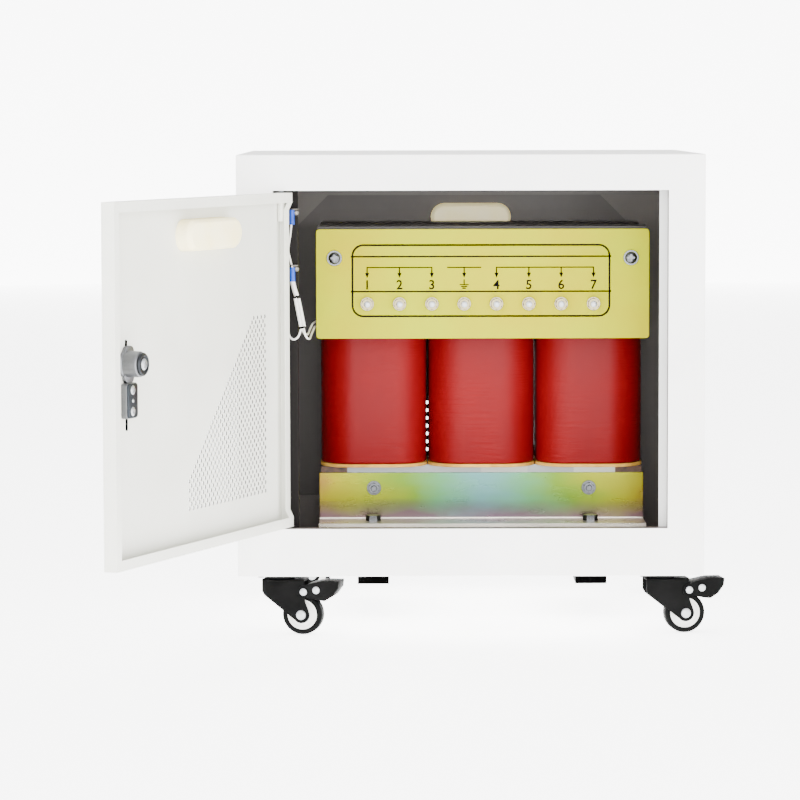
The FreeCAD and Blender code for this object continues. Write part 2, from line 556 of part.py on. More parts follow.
def clamp_angle(name, upper, rear):
    """Folded angle along a yoke: an upright plate on the stack and a foot away from it."""
    body = new_body(name)
    sheet_text, rise, reach = "angle_sheet", "angle_rise", "angle_foot"
    profile = [("0", "0"), ("0", rise), (f"-{sheet_text}", rise), (f"-{sheet_text}", sheet_text),
               (f"-{reach}", sheet_text), (f"-{reach}", "0")]
    pad(body, name + "_fold", "YZ", "-angle_length / 2", "angle_length", [profile])
    soften(body, name + "_outer_bend", "angle_bend",
           lambda e: runs_along(e, "x") and abs(middle(e).y) < 1e-6 and abs(middle(e).z) < 1e-6)
    holes = [square(f"{s}leg_pitch", "bolt_rise", BOLT_HOLE) for s in ("-", "")]
    if upper and not rear:
        holes += [square(f"{s}screw_spacing / 2", f"({CLAMP_TOP} - tray_rise - screw_rise)", NECK_HOLE)
                  for s in ("-", "")]
    pocket(body, name + "_bolt_holes", "XZ", f"-{sheet_text}", sheet_text, holes)
    if not upper:
        pocket(body, name + "_foot_holes", "XY", "0", sheet_text,
               [square(f"{s}skid_spacing / 2", "(stack_depth / 2 - foot_spacing / 2)",
                       "(foot_bolt_radius + bolt_clear)") for s in ("-", "")])
    turn = Rotation()
    if upper:
        turn = Rotation(Vector(1, 0, 0), 180) if rear else Rotation(Vector(0, 1, 0), 180)
    elif rear:
        turn = HALF_TURN
    return place(body, ("0", "stack_depth / 2" if rear else "-stack_depth / 2", CLAMP_TOP if upper else FOOT), turn)


CLAMP_TOP = f"({FOOT} + 2 * core_lift + {CORE_HEIGHT})"


def clamping():
    for name, upper, rear in (("front_lower_clamp", False, False), ("rear_lower_clamp", False, True),
                              ("front_upper_clamp", True, False), ("rear_upper_clamp", True, True)):
        clamp_angle(name, upper, rear)
    bolts = []
    plate = "(stack_depth / 2 + angle_sheet)"
    for z_text in (f"({FOOT} + bolt_rise)", f"({CLAMP_TOP} - bolt_rise)"):
        for sx in ("-", ""):
            bolts.append(bolt(f"clamp_bolt_{len(bolts) + 1}", "bolt_radius", "head_radius", "bolt_head",
                              f"(-{plate} - bolt_head / 2)", f"(2 * {plate} + bolt_head)",
                              (f"{sx}leg_pitch", "0", z_text), TO_Y))
    group("clamp_bolts", bolts)
    half = "(leg_pitch + leg_width / 2)"
    blocks = [box(f"yoke_block_{side}", ("block_length", "stack_depth", "block_height"),
                  (x_text, "-stack_depth / 2", f"{FOOT} + block_rise"))
              for side, x_text in (("left", f"-{half} - block_length"), ("right", half))]
    group("yoke_end_blocks", blocks)


# terminal board

def terminal_x(number):
    return f"(stud_shift + ({number} - 3.5) * stud_pitch)"


STUD_Z = "(tray_rise + stud_rise)"


def terminal_board():
    body = new_body("terminal_board")
    pad(body, "board_blank", "XZ", "0", "tray_sheet", [rect("-tray_width / 2", "tray_width / 2", "0", "tray_height")])
    soften(body, "board_corners", "tray_round", lambda e: runs_along(e, "y"))
    holes = [square(terminal_x(n), "stud_rise", NECK_HOLE) for n in range(8)]
    holes += [square(f"{s}screw_spacing / 2", "screw_rise", NECK_HOLE) for s in ("-", "")]
    pocket(body, "board_holes", "XZ", "0", "tray_sheet", holes)
    place(body, ("0", TRAY, "tray_rise"))
    stands = []
    for side, sign in (("left", "-"), ("right", "")):
        x_text, z_text = f"{sign}screw_spacing / 2", "tray_rise + screw_rise"
        name = f"board_standoff_{side}"
        stands.append(join(name, [
            rod(name + "_head", "screw_head", "bolt_head / 2", (x_text, f"{TRAY} - bolt_head / 2", z_text), TO_Y),
            box(name + "_neck", ("neck_side", "tray_sheet + tray_stand + angle_sheet + bolt_head / 4", "neck_side"),
                (f"{x_text} - neck_side / 2", f"{TRAY} - bolt_head / 4", f"{z_text} - neck_side / 2")),
            hexagon(name + "_post", "stand_radius", "tray_stand", (x_text, f"{TRAY} + tray_sheet", z_text), TO_Y)]))
    group("board_standoffs", stands)
    studs = []
    for n in range(8):
        x_text, name = terminal_x(n), f"stud_{n + 1}"
        studs.append(join(name, [
            rod(name + "_thread", "stud_radius", "stud_front", (x_text, f"{TRAY} - stud_front", STUD_Z), TO_Y),
            hexagon(name + "_nut", "nut_circle", "nut_height", (x_text, f"{TRAY} - nut_height", STUD_Z), TO_Y),
            box(name + "_neck", ("neck_side", "tray_sheet + stud_back + nut_height / 2", "neck_side"),
                (f"{x_text} - neck_side / 2", f"{TRAY} - nut_height / 2", f"{STUD_Z} - neck_side / 2"))]))
    group("terminal_studs", studs)


def strip_lead(name, stud_x, end_x, side):
    """Flat lead: a tab on the stud, a run back, a jog across and a run to the winding's front."""
    tab = f"({TRAY} + tray_sheet)"
    coil = "(-coil_depth / 2)"
    thick = "lead_sheet"
    near, far = f"({stud_x} {side} tab_half)", f"({stud_x} {'-' if side == '+' else '+'} tab_half)"
    inner = f"({near} {'-' if side == '+' else '+'} {thick})"
    beside = f"({end_x} {'-' if side == '+' else '+'} {thick})"
    turn_a, turn_b = f"({tab} + 12)", f"({coil} - 14)"
    loop = [(far, tab), (near, tab), (near, turn_a), (end_x, turn_b), (end_x, coil), (beside, coil),
            (beside, turn_b), (inner, turn_a), (inner, f"{tab} + {thick}"), (far, f"{tab} + {thick}")]
    body = new_body(name)
    pad(body, name + "_fold", "XY", "0", "lead_height", [loop])
    pocket(body, name + "_eye", "XZ", tab, thick, [square(stud_x, "lead_height / 2", NECK_HOLE)])
    return place(body, ("0", "0", f"{STUD_Z} - lead_height / 2"))


def winding_leads():
    targets = ((0, "-leg_pitch - 12", "-"), (1, "-leg_pitch + 12", "-"), (2, "-18", "+"), (4, "0", "-"),
               (5, "18", "-"), (6, "leg_pitch - 12", "+"), (7, "leg_pitch + 12", "+"))
    leads = [strip_lead(f"lead_{n + 1}", terminal_x(n), f"({end})", side) for n, end, side in targets]
    earth = new_body("lead_earth")
    tab, plate = f"({TRAY} + tray_sheet)", "(-stack_depth / 2 - angle_sheet)"
    rise = f"({CLAMP_TOP} - angle_rise + 12 - {STUD_Z} + tab_half)"
    loop = [(tab, "0"), (f"{tab} + lead_sheet", "0"), (f"{tab} + lead_sheet", f"{rise} - lead_sheet"),
            (plate, f"{rise} - lead_sheet"), (plate, rise), (tab, rise)]
    pad(earth, "earth_fold", "YZ", "-lead_height / 2", "lead_height", [loop])
    pocket(earth, "earth_eye", "XZ", tab, "lead_sheet", [square("0", "tab_half", NECK_HOLE)])
    leads.append(place(earth, (terminal_x(3), "0", f"{STUD_Z} - tab_half")))
    group("winding_leads", leads)


# control wiring on the strip, as straight runs with mitred bends

def strand(name, points, radius, sides=6):
    """Wire or sleeve with a plain section swept along straight runs."""
    stations = [Vector(*point) for point in points]
    turn = Rotation(Vector(0, 0, 1), stations[1] - stations[0])
    ring = [stations[0] + turn.multVec(Vector(radius * math.cos(a), radius * math.sin(a), 0))
            for a in [2 * math.pi * k / sides for k in range(sides + 1)]]
    obj = doc.addObject("Part::Feature", name)
    obj.Shape = Part.makePolygon(stations).makePipeShell([Part.makePolygon(ring)], True, True, 1)
    return place(obj, (STRIP_X, STRIP_Y, "0"))


STRIP_X = f"({LEFT} + strip_left)"
STRIP_Y = f"({FRONT} + strip_setback)"


def control_wiring():
    """Jumper between two lugs, a sleeve below it and three loops that run in to the first winding."""
    near = -size("wire_gap")
    axis = size("wire_inset")
    left = size("core_shift") + size("cabinet_width") / 2 - size("strip_left")
    front = size("core_setback") - size("strip_setback")
    lugs, crimps = [], []
    for word in ("upper", "lower"):
        lugs.append(box(f"{word}_lug_tongue", ("lug_width", "lug_depth", "lug_sheet"),
                        (f"{STRIP_X} + wire_inset - lug_width / 4", f"{STRIP_Y} - lug_depth", f"{word}_lug")))
        crimps.append(hexagon(f"{word}_crimp", "crimp_radius", "crimp_length",
                          (f"{STRIP_X} + wire_inset", f"{STRIP_Y} - wire_gap", f"{word}_lug - crimp_length")))
    group("wire_lugs", lugs)
    group("crimp_sleeves", crimps)
    play = size("wire_play")
    upper_end = size("upper_lug") - size("crimp_length") - play
    lower_end = size("lower_lug") - size("crimp_length") - play
    lower_top = size("lower_lug") + size("lug_sheet") + play
    low = lower_end - size("sleeve_run")
    wire_top = low - play
    corner = size("coil_width") / 2 - size("coil_round")
    coil_x = left - size("leg_pitch") - corner - size("coil_round") * math.cos(math.radians(50))
    coil_y = front - size("coil_depth") / 2 + size("coil_round") * (1 - math.sin(math.radians(50)))
    beside = left - size("tray_width") / 2 - 4
    behind = front - size("stack_depth") / 2 - size("angle_sheet") - size("tray_stand") + 6
    wires = [strand("jumper_wire", [(axis, near, upper_end), (axis - 4, near, upper_end - 24),
                                    (axis - 4, near, lower_top + 20), (axis + 3, near, lower_top)],
                    size("wire_radius"))]
    for name, start, dip, step, rise in (("loop_wire_left", 8, 12, 0, 0), ("loop_wire_right", 14, 14, 3, 2)):
        wires.append(strand(name, [(axis + start, near, wire_top), (axis + start + 2, near, low - dip),
                                   (axis + start + 10, near + 8, low - dip - 4 + step),
                                   (axis + 14 - step, near + 60, low - dip + step),
                                   (beside - step, behind, low - 5 + rise),
                                   (coil_x, coil_y, low + rise)], size("wire_radius")))
    wires.append(strand("loop_wire_back", [(axis + 3, near, wire_top), (axis + 1, near, low - 12),
                                           (axis - 5, near, low - 8),
                                           (axis - 6, -size("wire_radius") - play, low + 2)], size("wire_radius")))
    group("control_wires", wires)
    sleeves = [strand("sleeve_single", [(axis, near, lower_end), (axis + 4, near, lower_end - size("sleeve_run") * 0.4)],
                      size("sleeve_radius"))]
    for name, start in (("sleeve_left", 1.5), ("sleeve_right", 6.5)):
        sleeves.append(strand(name, [(axis + start, near, lower_end - size("sleeve_run") * 0.4 - 1), (axis + start + 7, near, low)],
                              size("sleeve_radius")))
    group("wire_sleeves", sleeves)


def cable_guard():
    """Rubber edging in the cable opening of the floor, with a lip above the sheet."""
    body = new_body("cable_guard")
    wide, long = "entry_width / 2", "entry_length / 2"

    def frame(grow):
        return rect(f"-{wide} - {grow}", f"{wide} + {grow}", f"-{long} - {grow}", f"{long} + {grow}")

    pad(body, "guard_sleeve", "XY", "0", "shell_sheet + guard_wall", [frame("0"), frame("(-guard_wall)")])
    pad(body, "guard_edge", "XY", "shell_sheet", "guard_wall", [frame("guard_lip"), frame("0")])
    place(body, ("0", f"{FRONT} + entry_setback", UNDER))


# casters, drawn with the swivel axis at the origin and the cabinet's underside at z = 0

def on_caster(obj, corner, turned=True):
    side = "-" if corner.endswith("left") else ""
    end = f"{FRONT} + caster_setback" if corner.startswith("front") else f"{BACK} - caster_setback"
    turn = Rotation(Vector(0, 0, 1), TRAILS[corner] if turned else 0)
    return place(obj, (f"-core_shift {'-' if side else '+'} (cabinet_width / 2 - caster_inset)", end, UNDER), turn)


FORK_TOP = "(-race_drop - fork_gap)"
FORK_HALF = "(fork_inside / 2 + fork_sheet)"


def caster_plate(corner):
    body = new_body(f"caster_plate_{corner}")
    pad(body, f"plate_{corner}", "XY", "-caster_sheet", "caster_sheet",
        [rect("-caster_plate_length / 2", "caster_plate_length / 2", "-caster_plate_width / 2",
              "caster_plate_width / 2")])
    pad(body, f"race_{corner}", "XY", "-race_drop", "race_drop - caster_sheet", [ring_loop("race_radius")])
    king_low = f"({FORK_TOP} - fork_sheet - king_reach)"
    pad(body, f"king_{corner}", "XY", king_low, f"-race_drop - {king_low}", (), [("0", "0", "king_radius")])
    return on_caster(body, corner, turned=False)


def caster_fork(corner, braked):
    """Stamped fork: a round top plate, two slanting legs with an eye and, for a brake, two pivot studs."""
    name = f"fork_{corner}"
    body = new_body(name)
    left, right = "(-race_radius)", "(trail_length + 4)"
    low, back = "(-axle_drop - fork_eye)", f"({FORK_TOP} - 16.5)"
    leg = [(left, FORK_TOP), (left, back), ("trail_length - fork_eye * 0.5", low), ("trail_length + fork_eye * 0.5", low),
           ("trail_length + fork_eye", "-axle_drop - fork_eye * 0.5"), ("trail_length + fork_eye", "-axle_drop + 8"),
           (right, f"{FORK_TOP} - 19"), (right, FORK_TOP)]
    span = f"2 * {FORK_HALF}"
    pad(body, name + "_side", "XZ", f"-{FORK_HALF}", span, [leg])
    pocket(body, name + "_gap", "XZ", "-fork_inside / 2", "fork_inside",
           [rect(f"{left} - 10", f"{right} + 30", "-axle_drop - 30", f"{FORK_TOP} - fork_sheet")])
    pad(body, name + "_top", "XY", f"{FORK_TOP} - fork_sheet", "fork_sheet", [ring_loop("race_radius")])
    pocket(body, name + "_king_hole", "XY", f"{FORK_TOP} - fork_sheet", "fork_sheet", (),
           [("0", "0", "king_radius + fit_gap")])
    pocket(body, name + "_axle_holes", "XZ", f"-{FORK_HALF}", span, (),
           [("trail_length", "-axle_drop", "axle_radius + fit_gap")])
    if braked:
        reach = "(pedal_gap + pedal_sheet + pivot_reach)"
        for side, start in (("near", f"-{FORK_HALF} - {reach}"), ("far", FORK_HALF)):
            pad(body, f"{name}_pivot_{side}", "XZ", start, reach, (), [("pivot_shift", "-pivot_drop", "pivot_radius")])
    return on_caster(body, corner)


def caster_wheel(corner):
    rim = new_body(f"wheel_rim_{corner}")
    hub, flange = "hub_width / 2", "rim_width / 2"
    bore = "(axle_radius + fit_gap)"
    revolve(rim, f"rim_turn_{corner}",
            [(bore, f"-{hub}"), ("hub_radius", f"-{hub}"), ("rim_radius", f"-{flange}"), ("rim_radius", flange),
             ("hub_radius", hub), (bore, hub)], "Y_Axis", "XY")
    tyre = new_body(f"tyre_{corner}")
    side = "tyre_width / 2"
    revolve(tyre, f"tyre_turn_{corner}",
            [("rim_radius", f"-{side}"), ("wheel_radius", f"-{side} + tyre_taper"),
             ("wheel_radius", f"{side} - tyre_taper"), ("rim_radius", side)], "Y_Axis", "XY")
    at_axle(rim, corner)
    at_axle(tyre, corner)


def at_axle(obj, corner):
    """Puts a piece drawn round the wheel's axis at the trailing axle."""
    on_caster(obj, corner)
    angle = TRAILS[corner]
    for axis, share in (("x", f"cos({angle} deg)"), ("y", f"sin({angle} deg)")):
        base = dict(obj.ExpressionEngine)[f".Placement.Base.{axis}"]
        obj.setExpression(f"Placement.Base.{axis}", f"{base} + {bound('trail_length')} * {share}")
    obj.setExpression("Placement.Base.z", bound(f"{UNDER} - axle_drop"))


def caster_axle(corner):
    """Axle bolt through both legs, with a head on one side and a nut on the other."""
    start = f"(-{FORK_HALF} - axle_cap / 2)"
    on_caster(bolt(f"caster_axle_{corner}", "axle_radius", "axle_head", "axle_cap", start,
                   f"(2 * {FORK_HALF} + axle_cap)", ("trail_length", "0", "-axle_drop"), TO_Y), corner)


def brake_pedal(corner):
    """Pressed brake lever: two cheeks outside the fork, a hood above the wheel and a toe plate."""
    name = f"brake_pedal_{corner}"
    body = new_body(name)
    half, inner = f"({FORK_HALF} + pedal_gap + pedal_sheet)", f"({FORK_HALF} + pedal_gap)"
    hood = [("pivot_shift - 7", "-pivot_drop - 5"), ("pivot_shift - 7", "-pivot_drop + 5"), ("pivot_shift + 8", "-13"),
            ("pivot_shift + 24", "-9.5"), ("pivot_shift + 45", "-9.5"), ("pivot_shift + 44", "-18"), ("pivot_shift + 37", "-28"),
            ("pivot_shift + 27", "-35"), ("pivot_shift + 16", "-32")]
    pad(body, name + "_block", "XZ", f"-{half}", f"2 * {half}", [hood])
    well = [("pivot_shift - 20", "-60"), ("pivot_shift - 20", "-5"), ("pivot_shift + 3", "-5"),
            ("pivot_shift + 3", "-15 - pedal_sheet"), ("pivot_shift + 8.4", "-13 - pedal_sheet"),
            ("pivot_shift + 24.2", "-9.5 - pedal_sheet"), ("pivot_shift + 42.8", "-9.5 - pedal_sheet"),
            ("pivot_shift + 42", "-17.4"), ("pivot_shift + 35.4", "-26.8"), ("pivot_shift + 26", "-32"), ("pivot_shift + 26", "-60")]
    pocket(body, name + "_well", "XZ", f"-{inner}", f"2 * {inner}", [well])
    pocket(body, name + "_eye", "XZ", f"-{half}", f"2 * {half}", (),
           [("pivot_shift", "-pivot_drop", "pivot_radius + fit_gap")])
    return on_caster(body, corner)


def casters():
    plates = []
    for corner in TRAILS:
        braked = corner.startswith("front")
        plates.append(caster_plate(corner))
        caster_fork(corner, braked)
        caster_wheel(corner)
        caster_axle(corner)
        if braked:
            brake_pedal(corner)
    group("caster_plates", plates)


cabinet_shell()
strike_strip()
wiring_strip()
rear_frame()
rear_panel()
place(grip_cup("rear_grip_cup", "rear_cup_length"),
      ("-core_shift + rear_cup_shift", f"{BACK} + panel_sheet", f"{UNDER} + cabinet_height - cup_drop"), HALF_TURN)
door_panel()
on_door(grip_cup("door_grip_cup", "door_cup_length"), (CUP_X, "-pin_depth", CUP_Z))
hinge_pieces()
lock_pieces()
foot_rails()
foot_bolts()
core_pieces()
windings()
clamping()
terminal_board()
winding_leads()
control_wiring()
cable_guard()
casters()
doc.recompute()

# every object that no other object uses is a sub-part
parts = [obj for obj in doc.Objects if hasattr(obj, "Shape") and not obj.InList
         and obj.TypeId not in ("App::Plane", "App::Line")]
broken = [obj.Name for obj in doc.Objects if "Invalid" in obj.State or "Error" in obj.State]
if broken:
    raise SystemExit("failed objects: " + ", ".join(broken))
for part in parts:
    if part.Shape.isNull() or not part.Shape.isValid() or not part.Shape.Solids:
        raise SystemExit("bad shape: " + part.Label)

os.makedirs("parts", exist_ok=True)
for part in parts:
    part.Shape.exportStep(f"parts/{part.Label}.step")
print(len(parts), "parts written")
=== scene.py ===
import math
import bpy
from mathutils import Matrix, Vector


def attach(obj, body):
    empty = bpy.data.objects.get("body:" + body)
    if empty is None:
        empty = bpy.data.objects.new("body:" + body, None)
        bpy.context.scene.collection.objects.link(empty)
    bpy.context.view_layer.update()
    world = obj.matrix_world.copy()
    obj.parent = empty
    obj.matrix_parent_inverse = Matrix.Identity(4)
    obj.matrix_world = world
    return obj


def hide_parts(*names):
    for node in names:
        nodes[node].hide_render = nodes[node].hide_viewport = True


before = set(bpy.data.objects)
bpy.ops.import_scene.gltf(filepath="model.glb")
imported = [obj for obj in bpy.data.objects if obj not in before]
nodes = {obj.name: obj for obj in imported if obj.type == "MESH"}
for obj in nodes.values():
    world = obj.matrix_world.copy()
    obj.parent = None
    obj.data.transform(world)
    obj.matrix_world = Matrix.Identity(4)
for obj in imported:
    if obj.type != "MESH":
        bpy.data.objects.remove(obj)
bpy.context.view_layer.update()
mm = 0.001
print("frame loaded with", len(nodes), "nodes")


# tools for modelling

def deselectAll():
    if bpy.context.object and bpy.context.object.mode != "OBJECT":
        bpy.ops.object.mode_set(mode="OBJECT")
    bpy.ops.object.select_all(action="DESELECT")


def activate(piece):
    deselectAll()
    piece.select_set(True)
    bpy.context.view_layer.objects.active = piece


def nameActive(name):
    piece = bpy.context.object
    piece.name = piece.data.name = name
    return piece


def bakePlace(piece):
    activate(piece)
    bpy.ops.object.transform_apply(location=True, rotation=True, scale=True)
    return piece


def addBlock(name, low, high):  # millimetres
    deselectAll()
    low, high = Vector(low) * mm, Vector(high) * mm
    bpy.ops.mesh.primitive_cube_add(size=1, location=(low + high) / 2, scale=high - low)
    return bakePlace(nameActive(name))


def startOutline(name, points, fill="NGON"):  # a circle primitive whose vertices are moved to the outline
    deselectAll()
    bpy.ops.mesh.primitive_circle_add(vertices=len(points), fill_type=fill)
    piece = nameActive(name)
    for vertex, point in zip(piece.data.vertices, points):
        vertex.co = Vector(point) * mm
    return piece


def tidyMesh():  # in edit mode
    bpy.ops.mesh.select_all(action="SELECT")
    bpy.ops.mesh.remove_doubles(threshold=0.00001)
    bpy.ops.mesh.delete_loose()
    bpy.ops.mesh.select_all(action="SELECT")
    bpy.ops.mesh.normals_make_consistent(inside=False)
    bpy.ops.object.mode_set(mode="OBJECT")


def addPlate(name, outline, low, high):  # outline in X and Z, thickness along Y
    piece = startOutline(name, [(x, low, z) for x, z in outline])
    bpy.ops.object.mode_set(mode="EDIT")
    bpy.ops.mesh.select_all(action="SELECT")
    bpy.ops.mesh.extrude_region_move(TRANSFORM_OT_translate={"value": (0, (high - low) * mm, 0)})
    tidyMesh()
    return piece


def addTurned(name, profile, axis="Z", steps=40):  # closed profile of (radius, height), spun round the axis
    piece = startOutline(name, [(r, 0, h) if axis == "Z" else (r, h, 0) for r, h in profile], "NOTHING")
    bpy.ops.object.mode_set(mode="EDIT")
    bpy.ops.mesh.select_all(action="SELECT")
    bpy.ops.mesh.spin(steps=steps, angle=2 * math.pi, center=(0, 0, 0), axis=(0, 0, 1) if axis == "Z" else (0, 1, 0))
    tidyMesh()
    return piece


def addModifier(piece, kind, **settings):
    activate(piece)
    modifier = piece.modifiers.new(kind.title(), kind)
    for key, value in settings.items():
        setattr(modifier, key, value)
    bpy.ops.object.modifier_apply(modifier=modifier.name)
    return piece


def bevelAll(piece, width, segments=2, angle=35):
    return addModifier(piece, "BEVEL", width=width * mm, segments=segments, limit_method="ANGLE",
                       angle_limit=math.radians(angle), harden_normals=False)


def cutAway(piece, cutter):
    addModifier(piece, "BOOLEAN", object=cutter, operation="DIFFERENCE", solver="EXACT")
    bpy.data.objects.remove(cutter)
    return piece


def joinAll(name, pieces):
    deselectAll()
    for piece in pieces:
        piece.select_set(True)
    bpy.context.view_layer.objects.active = pieces[0]
    bpy.ops.object.join()
    return nameActive(name)


def copyPiece(piece, name, place=None):
    copied = piece.copy()
    copied.data = piece.data.copy()
    bpy.context.collection.objects.link(copied)
    copied.name = copied.data.name = name
    if place:
        copied.data.transform(place)
    return copied


def shiftBy(x, y, z):  # millimetres
    return Matrix.Translation(Vector((x, y, z)) * mm)


def turnBy(degrees, axis):
    return Matrix.Rotation(math.radians(degrees), 4, axis)


def selectBy(piece, test, kind="FACE"):  # leaves the piece in edit mode with only these faces or edges selected
    activate(piece)
    bpy.ops.object.mode_set(mode="EDIT")
    bpy.ops.mesh.select_mode(type=kind)
    bpy.ops.mesh.select_all(action="DESELECT")
    bpy.ops.object.mode_set(mode="OBJECT")
    mesh = piece.data
    if kind == "FACE":
        for face in mesh.polygons:
            face.select = test(face.center / mm, face.normal)
    else:
        for edge in mesh.edges:
            a, b = (mesh.vertices[i].co / mm for i in edge.vertices)
            edge.select = test((a + b) / 2, (b - a).normalized())
    bpy.ops.object.mode_set(mode="EDIT")


def roundEdges(piece, test, radius, segments):  # bevels only the edges that the test picks
    selectBy(piece, test, "EDGE")
    bpy.ops.mesh.bevel(offset=radius * mm, segments=segments, affect="EDGES")
    bpy.ops.object.mode_set(mode="OBJECT")


def isUpright(at, way):
    return abs(way.z) > 0.9


def addTube(name, points, radius):  # smooth round wire through the points
    curve = bpy.data.curves.new(name, "CURVE")
    curve.dimensions = "3D"
    curve.bevel_depth = radius * mm
    curve.bevel_resolution = 4
    curve.resolution_u = 8
    curve.use_fill_caps = True
    spline = curve.splines.new("NURBS")
    spline.points.add(len(points) - 1)
    for station, point in zip(spline.points, points):
        station.co = (*(Vector(point) * mm), 1)
    spline.use_endpoint_u = True
    spline.order_u = 3
    piece = bpy.data.objects.new(name, curve)
    bpy.context.collection.objects.link(piece)
    activate(piece)
    bpy.ops.object.convert(target="MESH")
    return bpy.context.object


def coat(piece, *finishes):
    piece.data.materials.clear()
    for finish in finishes:
        piece.data.materials.append(finish)


def finishPiece(piece, body, material, replaced=(), smooth=35):
    bakePlace(piece)
    bpy.ops.object.shade_smooth_by_angle(angle=math.radians(smooth))
    if len(piece.data.materials) < 2:  # pieces joined from several materials keep theirs
        coat(piece, material)
    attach(piece, body)
    if replaced:
        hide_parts(*replaced)
    return piece


# tools for materials

def hexColour(text):  # sRGB hex to linear
    values = [int(text[i:i + 2], 16) / 255 for i in (1, 3, 5)]
    return tuple([v / 12.92 if v <= 0.04045 else ((v + 0.055) / 1.055) ** 2.4 for v in values] + [1])


def addNode(tree, kind, inputs=None, **settings):
    node = tree.nodes.new(kind)
    for key, value in settings.items():
        setattr(node, key, value)
    for key, value in (inputs or {}).items():
        if isinstance(value, bpy.types.NodeSocket):
            tree.links.new(value, node.inputs[key])
        else:
            node.inputs[key].default_value = value
    return node


def newMaterial(name, colour, roughness, metallic=0.0, **sockets):
    material = bpy.data.materials.new(name)
    material.use_nodes = True
    tree = material.node_tree
    shader = tree.nodes["Principled BSDF"]
    shader.inputs["Base Color"].default_value = hexColour(colour)
    shader.inputs["Roughness"].default_value = roughness
    shader.inputs["Metallic"].default_value = metallic
    for key, value in sockets.items():
        shader.inputs[key.replace("_", " ")].default_value = value
    place = addNode(tree, "ShaderNodeTexCoord").outputs["Object"]
    return material, tree, shader, place


def mixColours(tree, factor, first, second, blend="MIX"):
    mix = addNode(tree, "ShaderNodeMix", data_type="RGBA", blend_type=blend)
    for index, value in ((0, factor), (6, first), (7, second)):
        if isinstance(value, bpy.types.NodeSocket):
            tree.links.new(value, mix.inputs[index])
        else:
            mix.inputs[index].default_value = value
    return mix.outputs[2]


def speckle(tree, place, size, detail=2.0, stretch=(1, 1, 1)):  # noise whose features are about this many millimetres
    scaled = addNode(tree, "ShaderNodeMapping", {"Vector": place, "Scale": stretch})
    noise = addNode(tree, "ShaderNodeTexNoise", {"Vector": scaled.outputs["Vector"], "Scale": 1 / (size * mm),
                                                 "Detail": detail})
    return noise.outputs["Fac"]


def ramp(tree, factor, stops):
    node = addNode(tree, "ShaderNodeValToRGB", {"Fac": factor})
    elements = node.color_ramp.elements
    while len(elements) < len(stops):
        elements.new(0.5)
    for element, (position, colour) in zip(elements, stops):
        element.position = position
        element.color = hexColour(colour) if isinstance(colour, str) else (colour, colour, colour, 1)
    return node.outputs["Color"]


def addBump(tree, shader, height, distance, strength=1.0):
    bump = addNode(tree, "ShaderNodeBump", {"Height": height, "Distance": distance * mm, "Strength": strength})
    tree.links.new(bump.outputs["Normal"], shader.inputs["Normal"])


def varyRoughness(tree, shader, factor, low, high):
    spread = addNode(tree, "ShaderNodeMapRange", {"Value": factor, "To Min": low, "To Max": high})
    tree.links.new(spread.outputs["Result"], shader.inputs["Roughness"])


def setColour(tree, shader, socket):
    tree.links.new(socket, shader.inputs["Base Color"])


def insideBox(tree, place, low, high):  # 1 inside the box, in millimetres, and 0 outside
    split = addNode(tree, "ShaderNodeSeparateXYZ", {"Vector": place})
    total = None
    for axis, a, b in zip("XYZ", low, high):
        for operation, limit in (("GREATER_THAN", a), ("LESS_THAN", b)):
            test = addNode(tree, "ShaderNodeMath", {0: split.outputs[axis], 1: limit * mm}, operation=operation)
            if total is None:
                total = test.outputs[0]
            else:
                total = addNode(tree, "ShaderNodeMath", {0: total, 1: test.outputs[0]}, operation="MULTIPLY").outputs[0]
    return total


# finishes, each named for the real material, and for the painted light or shade where a finish carries it

# the inside colour is painted shade: a dark grey for inner faces that stand in the cabinet's shade
paintLook = {"outside": "#f3f2f0", "inside": "#5b5552", "grain": 0.9, "patch": 90}


def powderCoat(name, colour, inside=None, shine=0.35):  # polyester powder coat on steel: even, with a fine orange peel
    material, tree, shader, place = newMaterial(name, colour, 0.42, Specular_IOR_Level=shine)
    patches = speckle(tree, place, paintLook["patch"], 3)
    shade = ramp(tree, patches, [(0.3, 0.93), (0.7, 1.0)])
    base = hexColour(colour)
    if inside:  # the inner faces are painted dark grey as painted shade for the shaded interior
        base = mixColours(tree, insideBox(tree, place, *inside), base, hexColour(paintLook["inside"]))
    setColour(tree, shader, mixColours(tree, 1, base, shade, "MULTIPLY"))
    addBump(tree, shader, speckle(tree, place, paintLook["grain"], 2), 0.05, 0.5)
    varyRoughness(tree, shader, patches, 0.36, 0.5)
    return material


# boxes holding the inner faces that get the painted shade
shellShadedFaces = ((-303.6, -279.6, 36.1), (267.6, 197.6, 551.4))
rearShadedFaces = ((-303.6, 100, 36.1), (267.6, 198.9, 551.4))
cabinetWhite = powderCoat("powderCoatShell", paintLook["outside"], shellShadedFaces)
rearWhite = powderCoat("powderCoatRear", paintLook["outside"], rearShadedFaces)
# the door's white is a darker copy of the cabinet's, painted shade for faces turned away from the light
doorShadedWhite = powderCoat("powderCoatDoorShaded", "#d8d8cf")
# rear frame inside the cabinet: dark grey as painted shade
rearFrameShadeGrey = powderCoat("rearFramePaintedShade", "#6b6561")
stripGrey = powderCoat("lightGreyPaint", "#c6c6c4")
# wiring strip: near black as painted shade for the shade inside the opening
wiringStripShade = powderCoat("wiringStripPaintedShade", "#1a1817", shine=0.03)
upperClampShade = powderCoat("upperClampPaintedShade", "#322e2b")  # upper clamping angles, dull dark grey as painted shade, matching the shade above the terminal board
